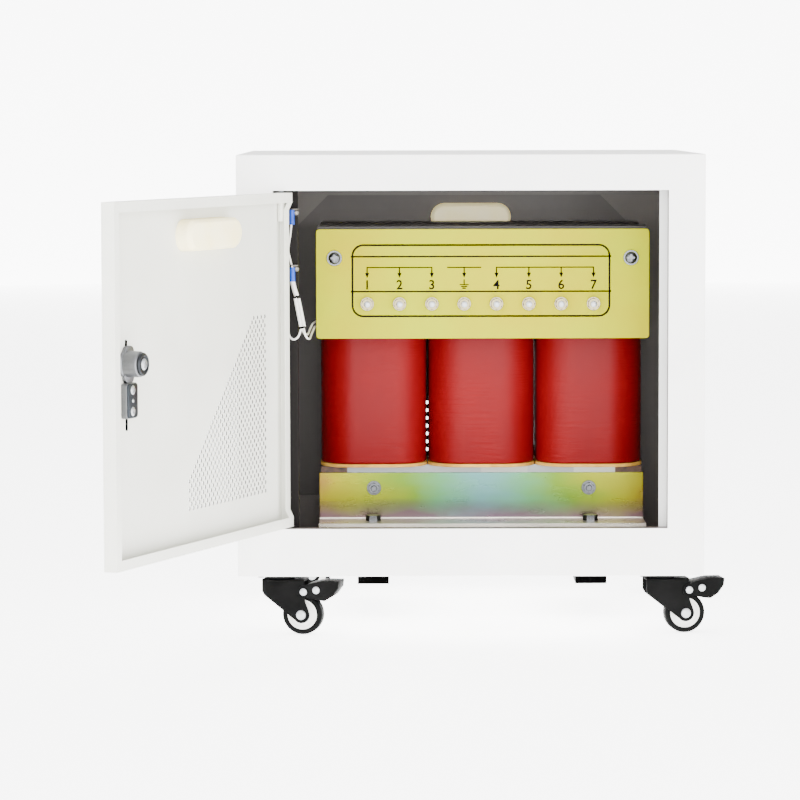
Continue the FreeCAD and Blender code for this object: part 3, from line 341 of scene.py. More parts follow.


def zincYellow():  # yellow chromated zinc: gold at the ends, green further in, teal and mauve in the middle, and near white along the foot flange as a painted highlight
    material, tree, shader, place = newMaterial("yellowChromateZinc", "#c3cf8a", 0.3, 0.8)
    split = addNode(tree, "ShaderNodeSeparateXYZ", {"Vector": place})
    away = addNode(tree, "ShaderNodeMath", {0: split.outputs["X"]}, operation="ABSOLUTE").outputs[0]
    clouds = speckle(tree, place, 70, 4, (0.5, 1, 1.2))
    shift = addNode(tree, "ShaderNodeMath", {0: clouds, 1: 0.16, 2: away}, operation="MULTIPLY_ADD").outputs[0]
    across = addNode(tree, "ShaderNodeMapRange", {"Value": shift, "From Min": 0.08,
                                                  "From Max": 0.335}).outputs["Result"]
    bands = ramp(tree, across, [(0.0, "#466e6b"), (0.22, "#417247"), (0.42, "#506b12"), (0.6, "#6b7000"),
                                (0.8, "#746c00"), (1.0, "#704a27")])
    height = addNode(tree, "ShaderNodeMapRange", {"Value": split.outputs["Z"], "From Min": 0.112, "From Max": 0.078})
    low = addNode(tree, "ShaderNodeMath", {0: height.outputs["Result"], 1: clouds}, operation="MULTIPLY").outputs[0]
    colours = mixColours(tree, ramp(tree, low, [(0.1, 0.0), (0.36, 0.9)]), bands, hexColour("#48303f"))
    # painted highlight: near white on the foot flange, for light on its upper face
    foot = addNode(tree, "ShaderNodeMapRange", {"Value": split.outputs["Z"], "From Min": 0.0815, "From Max": 0.0795})
    colours = mixColours(tree, foot.outputs["Result"], colours, hexColour("#efeade"))
    setColour(tree, shader, colours)
    streaks = speckle(tree, place, 30, 3, (0.5, 1, 2))
    varyRoughness(tree, shader, streaks, 0.2, 0.38)
    addBump(tree, shader, speckle(tree, place, 1.2, 2, (1, 1, 4)), 0.03, 0.4)
    return material


def metalFinish(name, colour, roughness, grain=0.6):  # plated or bare metal with a fine grain
    material, tree, shader, place = newMaterial(name, colour, roughness, 1.0)
    grains = speckle(tree, place, grain, 3)
    varyRoughness(tree, shader, grains, roughness * 0.75, roughness * 1.35)
    tone = speckle(tree, place, grain * 12, 2)
    bright = hexColour(colour)
    dull = (*(v * 0.82 for v in bright[:3]), 1)
    setColour(tree, shader, mixColours(tree, tone, bright, dull))
    addBump(tree, shader, grains, 0.02, 0.3)
    return material


def plasticFinish(name, colour, shadow, roughness, grain=1.5, depth=0.03, shine=0.5, patch=30):
    material, tree, shader, place = newMaterial(name, colour, roughness, Specular_IOR_Level=shine)
    setColour(tree, shader, mixColours(tree, ramp(tree, speckle(tree, place, patch, 3), [(0.35, 0.0), (0.7, 1.0)]),
                                       hexColour(colour), hexColour(shadow)))
    addBump(tree, shader, speckle(tree, place, grain, 2), depth, 0.5)
    return material


zincPlate = metalFinish("satinZincPlate", "#55575a", 0.28)  # plated fasteners, cool and satin
brightZinc = metalFinish("brightZincPlate", "#b4b6b8", 0.42)  # axles, rivets and the small lock screws
nickelBoardReflection = metalFinish("nickelBoardReflection", "#7a7258", 0.24)  # terminal nuts and washers, bright nickel, tinted yellow as a painted reflection of the yellow terminal board
dieCastZinc = metalFinish("dieCastZinc", "#707174", 0.45, 1.2)  # lock housing and lever, grey and dull
darkChrome = metalFinish("darkChrome", "#303235", 0.42)  # lock disc, reflects dark
coverSteel = metalFinish("blueBlackSteel", "#33383d", 0.45, 0.8)  # cover plate of the lock, dull and dark
tinnedCopper = metalFinish("tinnedCopper", "#67645e", 0.35, 0.8)  # leads and lugs
blackCoat = plasticFinish("blackPowderCoat", "#0b0b0b", "#101010", 0.4, 0.8, 0.03, 0.01)  # casters and skids
blackPlastic = plasticFinish("blackPolyethylene", "#020202", "#040404", 0.5, 1.5, 0.03, 0.0)  # end caps and bands
blackRubber = plasticFinish("blackRubber", "#020202", "#050505", 0.62, 0.7, 0.05, 0.0)  # edging of the cable opening
nylonWhite = plasticFinish("whiteNylon", "#f1f0ec", "#dddbd5", 0.38, 1.2, 0.03)  # wheel rims
vinylBlue = plasticFinish("blueVinyl", "#1f4cb4", "#15378c", 0.35, 2, 0.02, 0.25)  # crimp sleeves
vinylWhite = plasticFinish("whiteVinyl", "#efece6", "#dad5cb", 0.35, 2, 0.02, 0.4)  # control wires
phenolicBrown = plasticFinish("brownPhenolic", "#5c3b26", "#2f1e13", 0.4, 1.5, 0.05, 0.25, 12)  # yoke end blocks
pressboard = plasticFinish("pressboard", "#d9a84e", "#b8842f", 0.6, 0.8, 0.05, 0.2, 20)  # end boards, fibrous
printInk = plasticFinish("blackInk", "#020202", "#030303", 0.7, 1.5, 0.03, 0.05)  # matte screen print
yellowBoard = plasticFinish("yellowGlassLaminate", "#a6aa00", "#a89e00", 0.5, 1.0, 0.02, 0.0, 110)  # terminal board
holeEdge = plasticFinish("shadedSheetEdge", "#55554f", "#4a4a46", 0.6, 1.0, 0.02, 0.2)  # walls of the vent holes
creamPaintedGlow = plasticFinish("creamAbsPaintedGlow", "#fdf3c8", "#f8eab4", 0.35, 1.0, 0.02, 0.4)  # grips, glowing by emission as painted light
creamShader = creamPaintedGlow.node_tree.nodes["Principled BSDF"]
# painted light: the grips emit a soft cream glow
creamShader.inputs["Emission Color"].default_value = hexColour("#efe0a0")
creamShader.inputs["Emission Strength"].default_value = 0.5


def tyreRubber():  # solid rubber tread, dull with faint moulding lines
    material, tree, shader, place = newMaterial("tyreRubber", "#0a0a0a", 0.45, Specular_IOR_Level=0.02)
    setColour(tree, shader, mixColours(tree, speckle(tree, place, 6, 3), hexColour("#080808"), hexColour("#0d0d0d")))
    addBump(tree, shader, speckle(tree, place, 0.7, 2), 0.05, 0.4)
    return material


def redFilm():  # polyester film wrapped round the coil: glossy, with fine cross wrinkles
    material, tree, shader, place = newMaterial("redPolyesterFilm", "#680206", 0.48, Specular_IOR_Level=0.12)
    wrinkles = speckle(tree, place, 22, 4, (0.55, 0.55, 5))
    broad = speckle(tree, place, 60, 3, (1, 1, 0.5))
    mask = ramp(tree, broad, [(0.42, 0.1), (0.62, 1.0)])
    crease = addNode(tree, "ShaderNodeMath", {0: wrinkles, 1: mask}, operation="MULTIPLY").outputs[0]
    setColour(tree, shader, mixColours(tree, broad, hexColour("#620207"), hexColour("#7a070c")))
    varyRoughness(tree, shader, broad, 0.38, 0.52)
    addBump(tree, shader, crease, 1.6, 0.55)
    return material


def coreSteel():  # stacked sheets: thin dark lines across the stack, and each strip a little different
    material, tree, shader, place = newMaterial("siliconSteel", "#bfc1be", 0.4, 0.55)
    split = addNode(tree, "ShaderNodeSeparateXYZ", {"Vector": place})
    lines = addNode(tree, "ShaderNodeTexWave", {"Vector": place, "Scale": 120.0, "Distortion": 0.4},
                    bands_direction="Y").outputs["Fac"]
    strip = addNode(tree, "ShaderNodeMath", {0: split.outputs["X"], 1: 1 / 0.06}, operation="MULTIPLY").outputs[0]
    whole = addNode(tree, "ShaderNodeMath", {0: strip}, operation="FLOOR").outputs[0]
    chance = addNode(tree, "ShaderNodeTexWhiteNoise", {"W": whole}, noise_dimensions="1D").outputs["Value"]
    tone = mixColours(tree, chance, hexColour("#75787a"), hexColour("#9c9c92"))
    setColour(tree, shader, mixColours(tree, ramp(tree, lines, [(0.0, 0.0), (0.25, 1.0)]), hexColour("#6f7170"), tone))
    addBump(tree, shader, lines, 0.05, 0.3)
    return material


def braidedSleeve():  # glass braid, matte with a fine diagonal weave of about one millimetre
    material, tree, shader, place = newMaterial("glassBraid", "#efece6", 0.7)
    weave = addNode(tree, "ShaderNodeTexVoronoi", {"Vector": place, "Scale": 1000.0}).outputs["Distance"]
    setColour(tree, shader, mixColours(tree, weave, hexColour("#f2f0ea"), hexColour("#cfcbc2")))
    addBump(tree, shader, weave, 0.15, 0.6)
    return material


zincGold = zincYellow()
filmRed = redFilm()
steelCore = coreSteel()
rubberTyre = tyreRubber()
braid = braidedSleeve()

nodeFinish = {
    "cabinet_shell": cabinetWhite, "strike_strip": stripGrey, "wiring_strip": wiringStripShade, "rear_frame": rearFrameShadeGrey,
    "hinge_barrel": doorShadedWhite, "hinge_pins": zincPlate, "skid_rails": blackCoat, "spacer_rails": blackCoat,
    "skid_end_caps": blackPlastic, "cable_guard": blackRubber, "core_stack": steelCore, "core_top_yoke": steelCore,
    "front_lower_clamp": zincGold, "rear_lower_clamp": zincGold, "front_upper_clamp": upperClampShade,
    "rear_upper_clamp": upperClampShade, "foot_bolts": zincPlate, "yoke_end_blocks": phenolicBrown,
    "terminal_board": yellowBoard, "winding_leads": tinnedCopper,
}
for nodeName, finish in nodeFinish.items():
    coat(nodes[nodeName], finish)
print("finishes made")


# places taken from the drawing

door = {"pinX": -250, "pinY": -276, "bottom": 95.5, "open": 112.4, "left": -8, "right": 472, "height": 411.5,
        "front": -6, "back": 11, "sheet": 1.5, "lip": 12, "shallow": 4.5}
doorPlace = shiftBy(door["pinX"], door["pinY"], door["bottom"]) @ turnBy(-door["open"], "Z")
rear = {"size": (563, 507.5), "corner": 2, "centre": (-18, 293.75), "inside": 198, "outside": 199.5, "gripX": -8.5,
        "gripZ": 463.5}
rearPlace = shiftBy(rear["gripX"], rear["outside"], rear["gripZ"]) @ turnBy(180, "Z")

# perforated sheets

vents = {"radius": 2.5, "pitch": 10.67, "rows": 21}
doorVents = {"start": 41, "low": 48.5, "depth": 6, "side": 1, "first": 4, "widest": 21}
rearVents = {"start": 70.02, "low": 146.3, "depth": 12, "side": -1, "first": 0, "widest": 17}


def ventCutter(name, start, low, depth, side, first, widest):  # staggered rows of small round holes, in a triangle
    rows = []
    for row in range(2 * vents["rows"] - 1):
        full, odd = divmod(row, 2)
        count = min(first + full, widest) - (1 if odd and full >= widest - first else 0)
        if count < 1:
            continue
        x = start + side * (vents["pitch"] / 2 if odd else 0)
        z = low + (vents["rows"] - 1 - row / 2) * vents["pitch"]
        deselectAll()
        bpy.ops.mesh.primitive_cylinder_add(vertices=8, radius=vents["radius"] * mm, depth=depth * mm,
                                            location=(x * mm, 0, z * mm), rotation=(math.pi / 2, 0, 0))
        hole = bakePlace(nameActive(f"{name}_{row}"))
        addModifier(hole, "ARRAY", count=count, use_relative_offset=False, use_constant_offset=True,
                    constant_offset_displace=(side * vents["pitch"] * mm, 0, 0))
        rows.append(hole)
    cutter = joinAll(name, rows)
    coat(cutter, doorShadedWhite, holeEdge)
    for face in cutter.data.polygons:
        face.material_index = 1
    return cutter


def roundBar(half, radius, x=0, z=0, steps=10):  # outline with round ends
    right = [(x + half + radius * math.sin(math.pi * k / steps), z - radius * math.cos(math.pi * k / steps))
             for k in range(steps + 1)]
    left = [(x - half - radius * math.sin(math.pi * k / steps), z + radius * math.cos(math.pi * k / steps))
            for k in range(steps + 1)]
    return right + left


def roundRect(wide, tall, radius, x=0, z=0, steps=6):
    corners = ((1, 1, 0), (-1, 1, 90), (-1, -1, 180), (1, -1, 270))
    return [(x + sx * (wide / 2 - radius) + radius * math.cos(math.radians(start + 90 * k / steps)),
             z + sz * (tall / 2 - radius) + radius * math.sin(math.radians(start + 90 * k / steps)))
            for sx, sz, start in corners for k in range(steps + 1)]


lock = {"x": 418, "reach": 21, "slotX": 415, "slotZ": 205.5, "barrelZ": 229, "slot": (6, 102),
        "ends": {"slotEndHigh": (241.6, 255), "slotEndLow": (153.3, 166.3)}}
cup = {"height": 36, "depth": 20, "rim": 5, "lip": 2, "wall": 2, "gap": 0.4, "doorLength": 146, "rearLength": 108,
       "doorX": 213, "doorZ": 368}


def makeDoorSheet():
    sheet = addBlock("doorSheet", (door["left"], door["front"], 0), (door["right"], door["back"], door["height"]))
    roundEdges(sheet, lambda at, way: abs(at.y - door["front"]) < 0.1 or abs(way.y) > 0.9 and at.y < 0, 2, 4)
    selectBy(sheet, lambda at, way: way.y > 0.9)
    bpy.ops.mesh.inset(thickness=door["lip"] * mm, depth=0)
    bpy.ops.mesh.delete(type="FACE")
    for height in (door["lip"], door["lip"] + 9, door["height"] - door["lip"] - 9, door["height"] - door["lip"]):
        bpy.ops.mesh.select_all(action="SELECT")
        bpy.ops.mesh.bisect(plane_co=(0, 0, height * mm), plane_no=(0, 0, 1))
    bpy.ops.object.mode_set(mode="OBJECT")
    for vertex in sheet.data.vertices:  # the flange beside the hinge is less deep between its corners
        x, y, z = vertex.co / mm
        if x < door["left"] + door["lip"] + 0.5 and y > 9 and door["lip"] + 5 < z < door["height"] - door["lip"] - 5:
            vertex.co.y -= door["shallow"] * mm
    addModifier(sheet, "SOLIDIFY", thickness=door["sheet"] * mm, offset=-1, use_even_offset=True)
    grip = addPlate("gripCut", roundBar((cup["doorLength"] - cup["height"]) / 2, cup["height"] / 2 + cup["gap"],
                                        cup["doorX"], cup["doorZ"]), -9, 0)
    slotCut = addPlate("slotCut", roundRect(*lock["slot"], 2.9, lock["slotX"], lock["slotZ"]), -9, 0)
    barrel = addPlate("barrelCut", roundBar(0, 13.3, lock["x"], lock["barrelZ"]), -9, 0)
    for cutter in (grip, slotCut, barrel):
        cutAway(sheet, cutter)
    coat(sheet, doorShadedWhite, holeEdge)
    holes = ventCutter("doorVents", **doorVents)
    holes.data.transform(shiftBy(0, door["front"] + 0.7, 0))
    cutAway(sheet, holes)
    sheet.data.transform(doorPlace)
    finishPiece(sheet, "door", doorShadedWhite, ("door_panel",), 30)


def makeRearSheet():
    outline = roundRect(*rear["size"], rear["corner"], *rear["centre"], 2)
    sheet = addPlate("rearSheet", outline, rear["inside"], rear["outside"])
    grip = roundBar((cup["rearLength"] - cup["height"]) / 2, cup["height"] / 2 + cup["gap"],
                    rear["gripX"], rear["gripZ"])
    cutAway(sheet, addPlate("rearGripCut", grip, 190, 210))
    coat(sheet, rearWhite, holeEdge)
    holes = ventCutter("rearVents", **rearVents)
    holes.data.transform(shiftBy(0, 198.7, 0))
    cutAway(sheet, holes)
    finishPiece(sheet, "cabinet", rearWhite, ("rear_panel",), 30)


makeDoorSheet()
makeRearSheet()
print("perforated sheets made")


# recessed grips

def makeGrip(name, length, place, body, node):
    half, radius = (length - cup["height"]) / 2, cup["height"] / 2
    grip = addPlate(name, roundBar(half, radius + cup["rim"], steps=14), -cup["lip"], 0)
    # the outer wall from the back face, then the hollow from the front face, each with a narrowed bottom
    for side, rim, last, narrowed in ((1, cup["rim"], 5, (0.93, 1, 0.8)),
                                      (-1, cup["rim"] + cup["wall"], 4, (0.92, 1, 0.78))):
        selectBy(grip, lambda at, way: way.y * side > 0.9)
        bpy.ops.mesh.inset(thickness=rim * mm, depth=0)
        for step in (cup["depth"] - last, last):
            bpy.ops.mesh.extrude_region_move(TRANSFORM_OT_translate={"value": (0, step * mm, 0)})
        bpy.ops.transform.resize(value=narrowed)
        bpy.ops.object.mode_set(mode="OBJECT")
    bevelAll(grip, 1.6, 3, 20)
    grip.data.transform(place)
    finishPiece(grip, body, creamPaintedGlow, (node,), 50)


cupPlace = doorPlace @ shiftBy(cup["doorX"], door["front"], cup["doorZ"])
makeGrip("doorGrip", cup["doorLength"], cupPlace, "door", "door_grip_cup")
makeGrip("rearGrip", cup["rearLength"], rearPlace, "cabinet", "rear_grip_cup")
print("grips made")


# screws used all over: a turned head with a driving recess

def addScrew(name, headRadius, headHeight, shankRadius, shankLength, recess="cross"):
    dome = [(0, -headHeight), (headRadius * 0.5, -headHeight * 0.97), (headRadius * 0.85, -headHeight * 0.7),
            (headRadius, -headHeight * 0.25), (headRadius, 0), (shankRadius, 0), (shankRadius, shankLength),
            (0, shankLength)]
    screw = addTurned(name, dome, "Y", 28)
    arm, deep = headRadius * 0.62, headHeight * 0.6
    across = addBlock(name + "CutA", (-arm, -headHeight - 1, -arm * 0.26), (arm, -headHeight + deep, arm * 0.26))
    cutAway(screw, across)
    if recess == "cross":
        upright = addBlock(name + "CutB", (-arm * 0.26, -headHeight - 1, -arm), (arm * 0.26, -headHeight + deep, arm))
        cutAway(screw, upright)
    return screw


def addWasher(name, outer, inner, thickness, y=0):
    return bevelAll(addTurned(name, [(inner, y - thickness), (outer, y - thickness), (outer, y), (inner, y)], "Y", 36),
                    0.3, 1)


def addHexNut(name, acrossCorners, height, y, bore):  # its seat at y and its top towards -Y, both ends chamfered
    nut = addTurned(name, [(bore, y - height), (acrossCorners * 0.87, y - height),
                           (acrossCorners * 1.02, y - height * 0.86), (acrossCorners * 1.02, y - height * 0.12),
                           (acrossCorners * 0.93, y), (bore, y)], "Y", 36)
    for k in range(6):  # six flats
        flat = addBlock(name + "Flat", (acrossCorners * 0.866, y - height - 1, -acrossCorners * 2),
                        (acrossCorners * 2, y + 1, acrossCorners * 2))
        flat.data.transform(turnBy(60 * k, "Y"))
        cutAway(nut, flat)
    return nut


# terminals

terminals = {"count": 8, "pitch": 41, "shift": -3, "z": 362.5, "face": -132, "stud": 4, "nut": 7.5}
terminalX = [terminals["shift"] + (k - 3.5) * terminals["pitch"] for k in range(terminals["count"])]
standoff = {"x": (-188, 188), "z": 420.7}


def makeTerminals():
    face, radius = terminals["face"], terminals["stud"]
    thread = [(0, -14)]
    for k in range(11):
        thread += [(radius - 0.5, -14 + 0.4 + k * 0.85), (radius, -14 + 0.8 + k * 0.85)]
    thread += [(radius - 0.5, -4), (radius - 0.5, 0), (0, 0)]
    stud = addTurned("terminalStud", thread, "Y", 28)
    neck = addBlock("terminalNeck", (-3, -0.5, -3), (3, 17, 3))
    washer = addWasher("terminalWasher", 8.8, 4.1, 1.4)
    spring = addWasher("terminalSpring", 6.8, 4.1, 1.6, -1.4)
    nut = addHexNut("terminalNut", terminals["nut"], 6.2, -3, 3.6)
    rear = addHexNut("terminalRearNut", 6.5, 4, 11.6, 2.9)
    for piece, finish in ((stud, brightZinc), (neck, nickelBoardReflection), (washer, nickelBoardReflection), (spring, zincPlate),
                          (nut, nickelBoardReflection), (rear, nickelBoardReflection)):
        coat(piece, finish)
    first = joinAll("terminal", [stud, neck, washer, spring, nut, rear])
    copies = []
    for index, x in enumerate(terminalX):
        turn = turnBy(17 * index, "Y") if index % 2 else Matrix()
        copies.append(copyPiece(first, f"terminal{index + 1}", shiftBy(x, face, terminals["z"]) @ turn))
    bpy.data.objects.remove(first)
    finishPiece(joinAll("terminalRow", copies), "cabinet", nickelBoardReflection, ("terminal_studs",))


def makeStandoffs():
    screw = addScrew("standoffScrew", 7.6, 3.6, 2.9, 84)
    washer = addWasher("standoffWasher", 9.8, 3.1, 1.4)
    screw.data.transform(shiftBy(0, -1.6, 0))
    post = addHexNut("standoffPost", 7, 77, 82, 3)
    first = joinAll("standoff", [screw, washer, post])
    both = joinAll("boardStandoffs", [copyPiece(first, f"standoff{k}", shiftBy(x, terminals["face"], standoff["z"]))
                                      for k, x in enumerate(standoff["x"])])
    bpy.data.objects.remove(first)
    finishPiece(both, "cabinet", zincPlate, ("board_standoffs",))


makeTerminals()
makeStandoffs()
print("terminals made")


# printing on the terminal board: frame, rules, arrows, plain numbers and an earth sign

printed = {"face": -132.0, "thick": 0.2, "left": -166.3, "right": 161.9, "top": 438.3, "bottom": 345.7, "corner": 15,
           "frame": 2.4, "rule": 2, "rules": (422.6, 378.3), "bracket": 1.5, "stem": 1.6, "bar": 408.8, "tip": 396.4,
           "textLow": 381.3, "text": 16.5, "earth": 1.3}


def makePrint():
    p = printed
    near, far = p["face"] - p["thick"], p["face"]
    parts = []

    def line(x0, z0, x1, z1, wide):
        parts.append(addBlock("printLine", (min(x0, x1) - wide / 2, near, min(z0, z1) - wide / 2),
                              (max(x0, x1) + wide / 2, far, max(z0, z1) + wide / 2)))

    wide, tall = p["right"] - p["left"], p["top"] - p["bottom"]
    centre = ((p["left"] + p["right"]) / 2, (p["top"] + p["bottom"]) / 2)
    outer = addPlate("printFrame", roundRect(wide, tall, p["corner"], *centre, 8), near, far)
    opening = roundRect(wide - 2 * p["frame"], tall - 2 * p["frame"], p["corner"] - p["frame"], *centre, 8)
    parts.append(cutAway(outer, addPlate("printInner", opening, near - 1, far + 1)))
    for height in p["rules"]:
        line(p["left"], height, p["right"], height, p["rule"])
    x = terminalX
    for first, last, spare in ((0, 2, 0), (3, 3, 21), (4, 7, 0)):
        line(x[first] - spare, p["bar"], x[last] + spare, p["bar"], p["bracket"])
        for k in range(first, last + 1):
            line(x[k], p["bar"], x[k], p["tip"] + 3, p["stem"])
            arrow = [(x[k] - 2.7, p["tip"] + 5.5), (x[k], p["tip"] - 1), (x[k] + 2.7, p["tip"] + 5.5)]
            parts.append(addPlate("printArrow", arrow, near, far))
    for k, words in zip((0, 1, 2, 4, 5, 6, 7), "1234567"):
        deselectAll()
        bpy.ops.object.text_add(rotation=(math.pi / 2, 0, 0), location=(x[k] * mm, near * mm, p["textLow"] * mm))
        label = nameActive("printNumber")
        label.data.body = words
        label.data.size = p["text"] * mm
        label.data.align_x = "CENTER"
        label.data.extrude = 0.05 * mm
        label.data.offset = 0.26 * mm
        bpy.ops.object.convert(target="MESH")
        parts.append(bakePlace(bpy.context.object))
    line(x[3], 387.5, x[3], 393, p["bracket"])
    for k, half in enumerate((5.2, 3.4, 1.6)):  # earth sign
        line(x[3] - half, 387 - 2.2 * k, x[3] + half, 387 - 2.4 * k, p["earth"])
    finishPiece(joinAll("boardPrint", parts), "cabinet", printInk)


makePrint()
print("board printed")


# windings and their end boards

coil = {"wide": 136, "deep": 160, "low": 153, "high": 382, "round": 45, "edge": 3, "bore": (36.5, 47),
        "x": (-139.2, 0, 139.2)}
endBoard = {"half": (69.2, 81.2), "bore": (35, 45.5), "thick": 4, "round": 44, "low": {"lower": 149, "upper": 382}}


def makeWindings():
    half, depth, (boreX, boreY) = coil["wide"] / 2, coil["deep"] / 2, coil["bore"]
    low, high = coil["low"], coil["high"]
    for number, x in enumerate(coil["x"], 1):
        winding = addBlock(f"winding{number}", (-half, -depth, low), (half, depth, high))
        roundEdges(winding, isUpright, coil["round"], 14)
        roundEdges(winding, lambda at, way: abs(way.z) < 0.1 and (at.z < low + 0.1 or at.z > high - 0.1),
                   coil["edge"], 3)
        cutAway(winding, addBlock("legHollow", (-boreX, -boreY, low - 5), (boreX, boreY, high + 5)))
        winding.data.transform(shiftBy(x, 0, 0))
        finishPiece(winding, "cabinet", filmRed, (f"winding_{number}",), 35)


def makeEndBoards():
    (halfX, halfY), (boreX, boreY), thick = endBoard["half"], endBoard["bore"], endBoard["thick"]
    for name, low in endBoard["low"].items():
        boards = []
        for x in coil["x"]:
            board = addBlock("endBoard", (x - halfX, -halfY, low), (x + halfX, halfY, low + thick))
            roundEdges(board, isUpright, endBoard["round"], 12)
            cutAway(board, addBlock("boardHollow", (x - boreX, -boreY, low - 2), (x + boreX, boreY, low + thick + 2)))
            boards.append(bevelAll(board, 0.5, 1))
        finishPiece(joinAll(f"{name}Boards", boards), "cabinet", pressboard, (f"{name}_end_boards",))


makeWindings()
makeEndBoards()
print("windings made")


# bolts through the clamping angles

clampBolt = {"x": (-139.2, 139.2), "z": (119.5, 415.5), "reach": 50}


def makeClampBolts():
    end = clampBolt["reach"]
    shank = addTurned("clampShank", [(0, -end - 12), (3.4, -end - 12), (4, -end - 11), (4, end + 11), (3.4, end + 12),
                                     (0, end + 12)], "Y", 28)
    washers = [addWasher("clampWasher", 9.4, 4.2, 1.6, -end), addWasher("clampWasher", 9.4, 4.2, 1.6, end + 1.6)]
    front = addHexNut("clampNut", 7.5, 6.5, -end - 1.6, 3.9)
    rear = copyPiece(front, "clampHead", turnBy(180, "Z"))
    first = joinAll("clampBolt", [shank, *washers, front, rear])
    places = [shiftBy(x, 0, z) for x in clampBolt["x"] for z in clampBolt["z"]]
    bolts = joinAll("clampBolts", [copyPiece(first, f"clampBolt{k}", p) for k, p in enumerate(places)])
    bpy.data.objects.remove(first)
    finishPiece(bolts, "cabinet", zincPlate, ("clamp_bolts",))


makeClampBolts()
print("clamp bolts made")


# lock on the door, in the closed door's own axes

def makeLock():
    x, z, slotX, face = lock["x"], lock["barrelZ"], lock["slotX"], door["front"]
    inner = face + door["sheet"]
    tip = inner + lock["reach"]
    centre = shiftBy(x, 0, z)
    housing = addTurned("lockHousing", [(4.2, inner), (16.4, inner), (16.4, inner + 2), (14.9, inner + 3.4),
                                        (14.6, tip - 1.4), (13.4, tip), (4.2, tip)], "Y", 40)
    ring = addTurned("lockRing", [(4.2, tip - 1), (10.4, tip - 1), (10.4, tip + 0.2), (4.2, tip + 0.2)], "Y", 40)
    for piece in (housing, ring):
        piece.data.transform(centre)
    foot = bevelAll(addPlate("lockFoot", roundRect(23, 42, 8, slotX - 0.5, z - 1), inner, inner + 4.5), 0.8)
    plate = bevelAll(addPlate("lockPlate", roundRect(32, 118, 7, x, lock["slotZ"]), face - 3, face), 0.8, 3)
    neck = addPlate("lockNeck", roundBar(0, 12.8, x, z), face - 0.5, inner + 0.5)
    body = joinAll("lockBody", [bevelAll(housing, 0.5), ring, foot, plate, neck])
    body.data.transform(doorPlace)
    finishPiece(body, "door", dieCastZinc, ("lock_body",))

    disc = bevelAll(addTurned("lockDisc", [(0, tip + 0.3), (13.2, tip + 0.3), (13.2, tip + 2.2), (11.9, tip + 3.6),
                                           (9.8, tip + 3.6), (9.2, tip + 2.4), (0, tip + 2.4)], "Y", 40), 0.3)
    screw = addScrew("lockScrew", 6.6, 2.2, 2.5, 0.5)
    screw.data.transform(shiftBy(0, tip + 2.5, 0) @ turnBy(180, "Z")
                         @ turnBy(24, "Y"))
    spindle = addTurned("lockSpindle", [(0, face - 9), (3.95, face - 9), (3.95, tip + 1), (0, tip + 1)], "Y", 28)
    for piece, finish in ((disc, darkChrome), (screw, brightZinc), (spindle, darkChrome)):
        coat(piece, finish)
    turning = joinAll("lockEnd", [disc, screw, spindle])
    turning.data.transform(doorPlace @ centre)
    finishPiece(turning, "lock", darkChrome, ("lock_disc",))

    leverHalf = [(0, -89.5), (5, -88), (7, -84), (8.6, -40), (9, 0), (7.8, 4.5), (4.5, 7.8), (0, 9)]
    lever = addPlate("lockLever", leverHalf + [(-across, up) for across, up in reversed(leverHalf[1:-1])],
                     face - 9.3, face - 3.3)
    bevelAll(lever, 1.6, 3)
    lever.data.transform(doorPlace @ centre)
    finishPiece(lever, "lock", dieCastZinc, ("lock_lever",))

    low, high = lock["slotZ"] - 38, lock["slotZ"] + 2
    middle = (low + high) / 2
    channel = addPlate("lockChannel", roundRect(27, 40, 3.5, slotX, middle), inner, inner + 7.2)
    front = bevelAll(addPlate("lockCover", roundRect(25, 38.5, 4, slotX, middle), inner + 7.2, inner + 8.2), 0.3)
    for piece, name, finish, hidden in ((bevelAll(channel, 0.8), "lockBracket", dieCastZinc, ("lock_bracket",)),
                                        (front, "lockCover", coverSteel, ())):
        piece.name = name
        piece.data.transform(doorPlace)
        finishPiece(piece, "door", finish, hidden)
    screws = []
    for k, height in enumerate((-6, -18, -30)):
        small = addScrew(f"lockSmallScrew{k}", 2.2 if k == 1 else 5.2, 1.2, 1.5, 3, "slot" if k == 1 else "cross")
        small.data.transform(shiftBy(slotX, inner + 8.1, lock["slotZ"] + height)
                             @ turnBy(180, "Z") @ turnBy(30 + 25 * k, "Y"))
        screws.append(small)
    joined = joinAll("lockScrews", screws)
    joined.data.transform(doorPlace)
    finishPiece(joined, "door", brightZinc)
    for name, (low, high) in lock["ends"].items():
        mark = bevelAll(addBlock(name, (slotX - 2.8, face - 0.2, low), (slotX + 2.8, inner + 0.3, high)), 0.4)
        mark.data.transform(doorPlace)
        finishPiece(mark, "door", blackPlastic)


makeLock()
print("lock made")


# control wiring on the left strip: each tube is a radius and the points it runs through

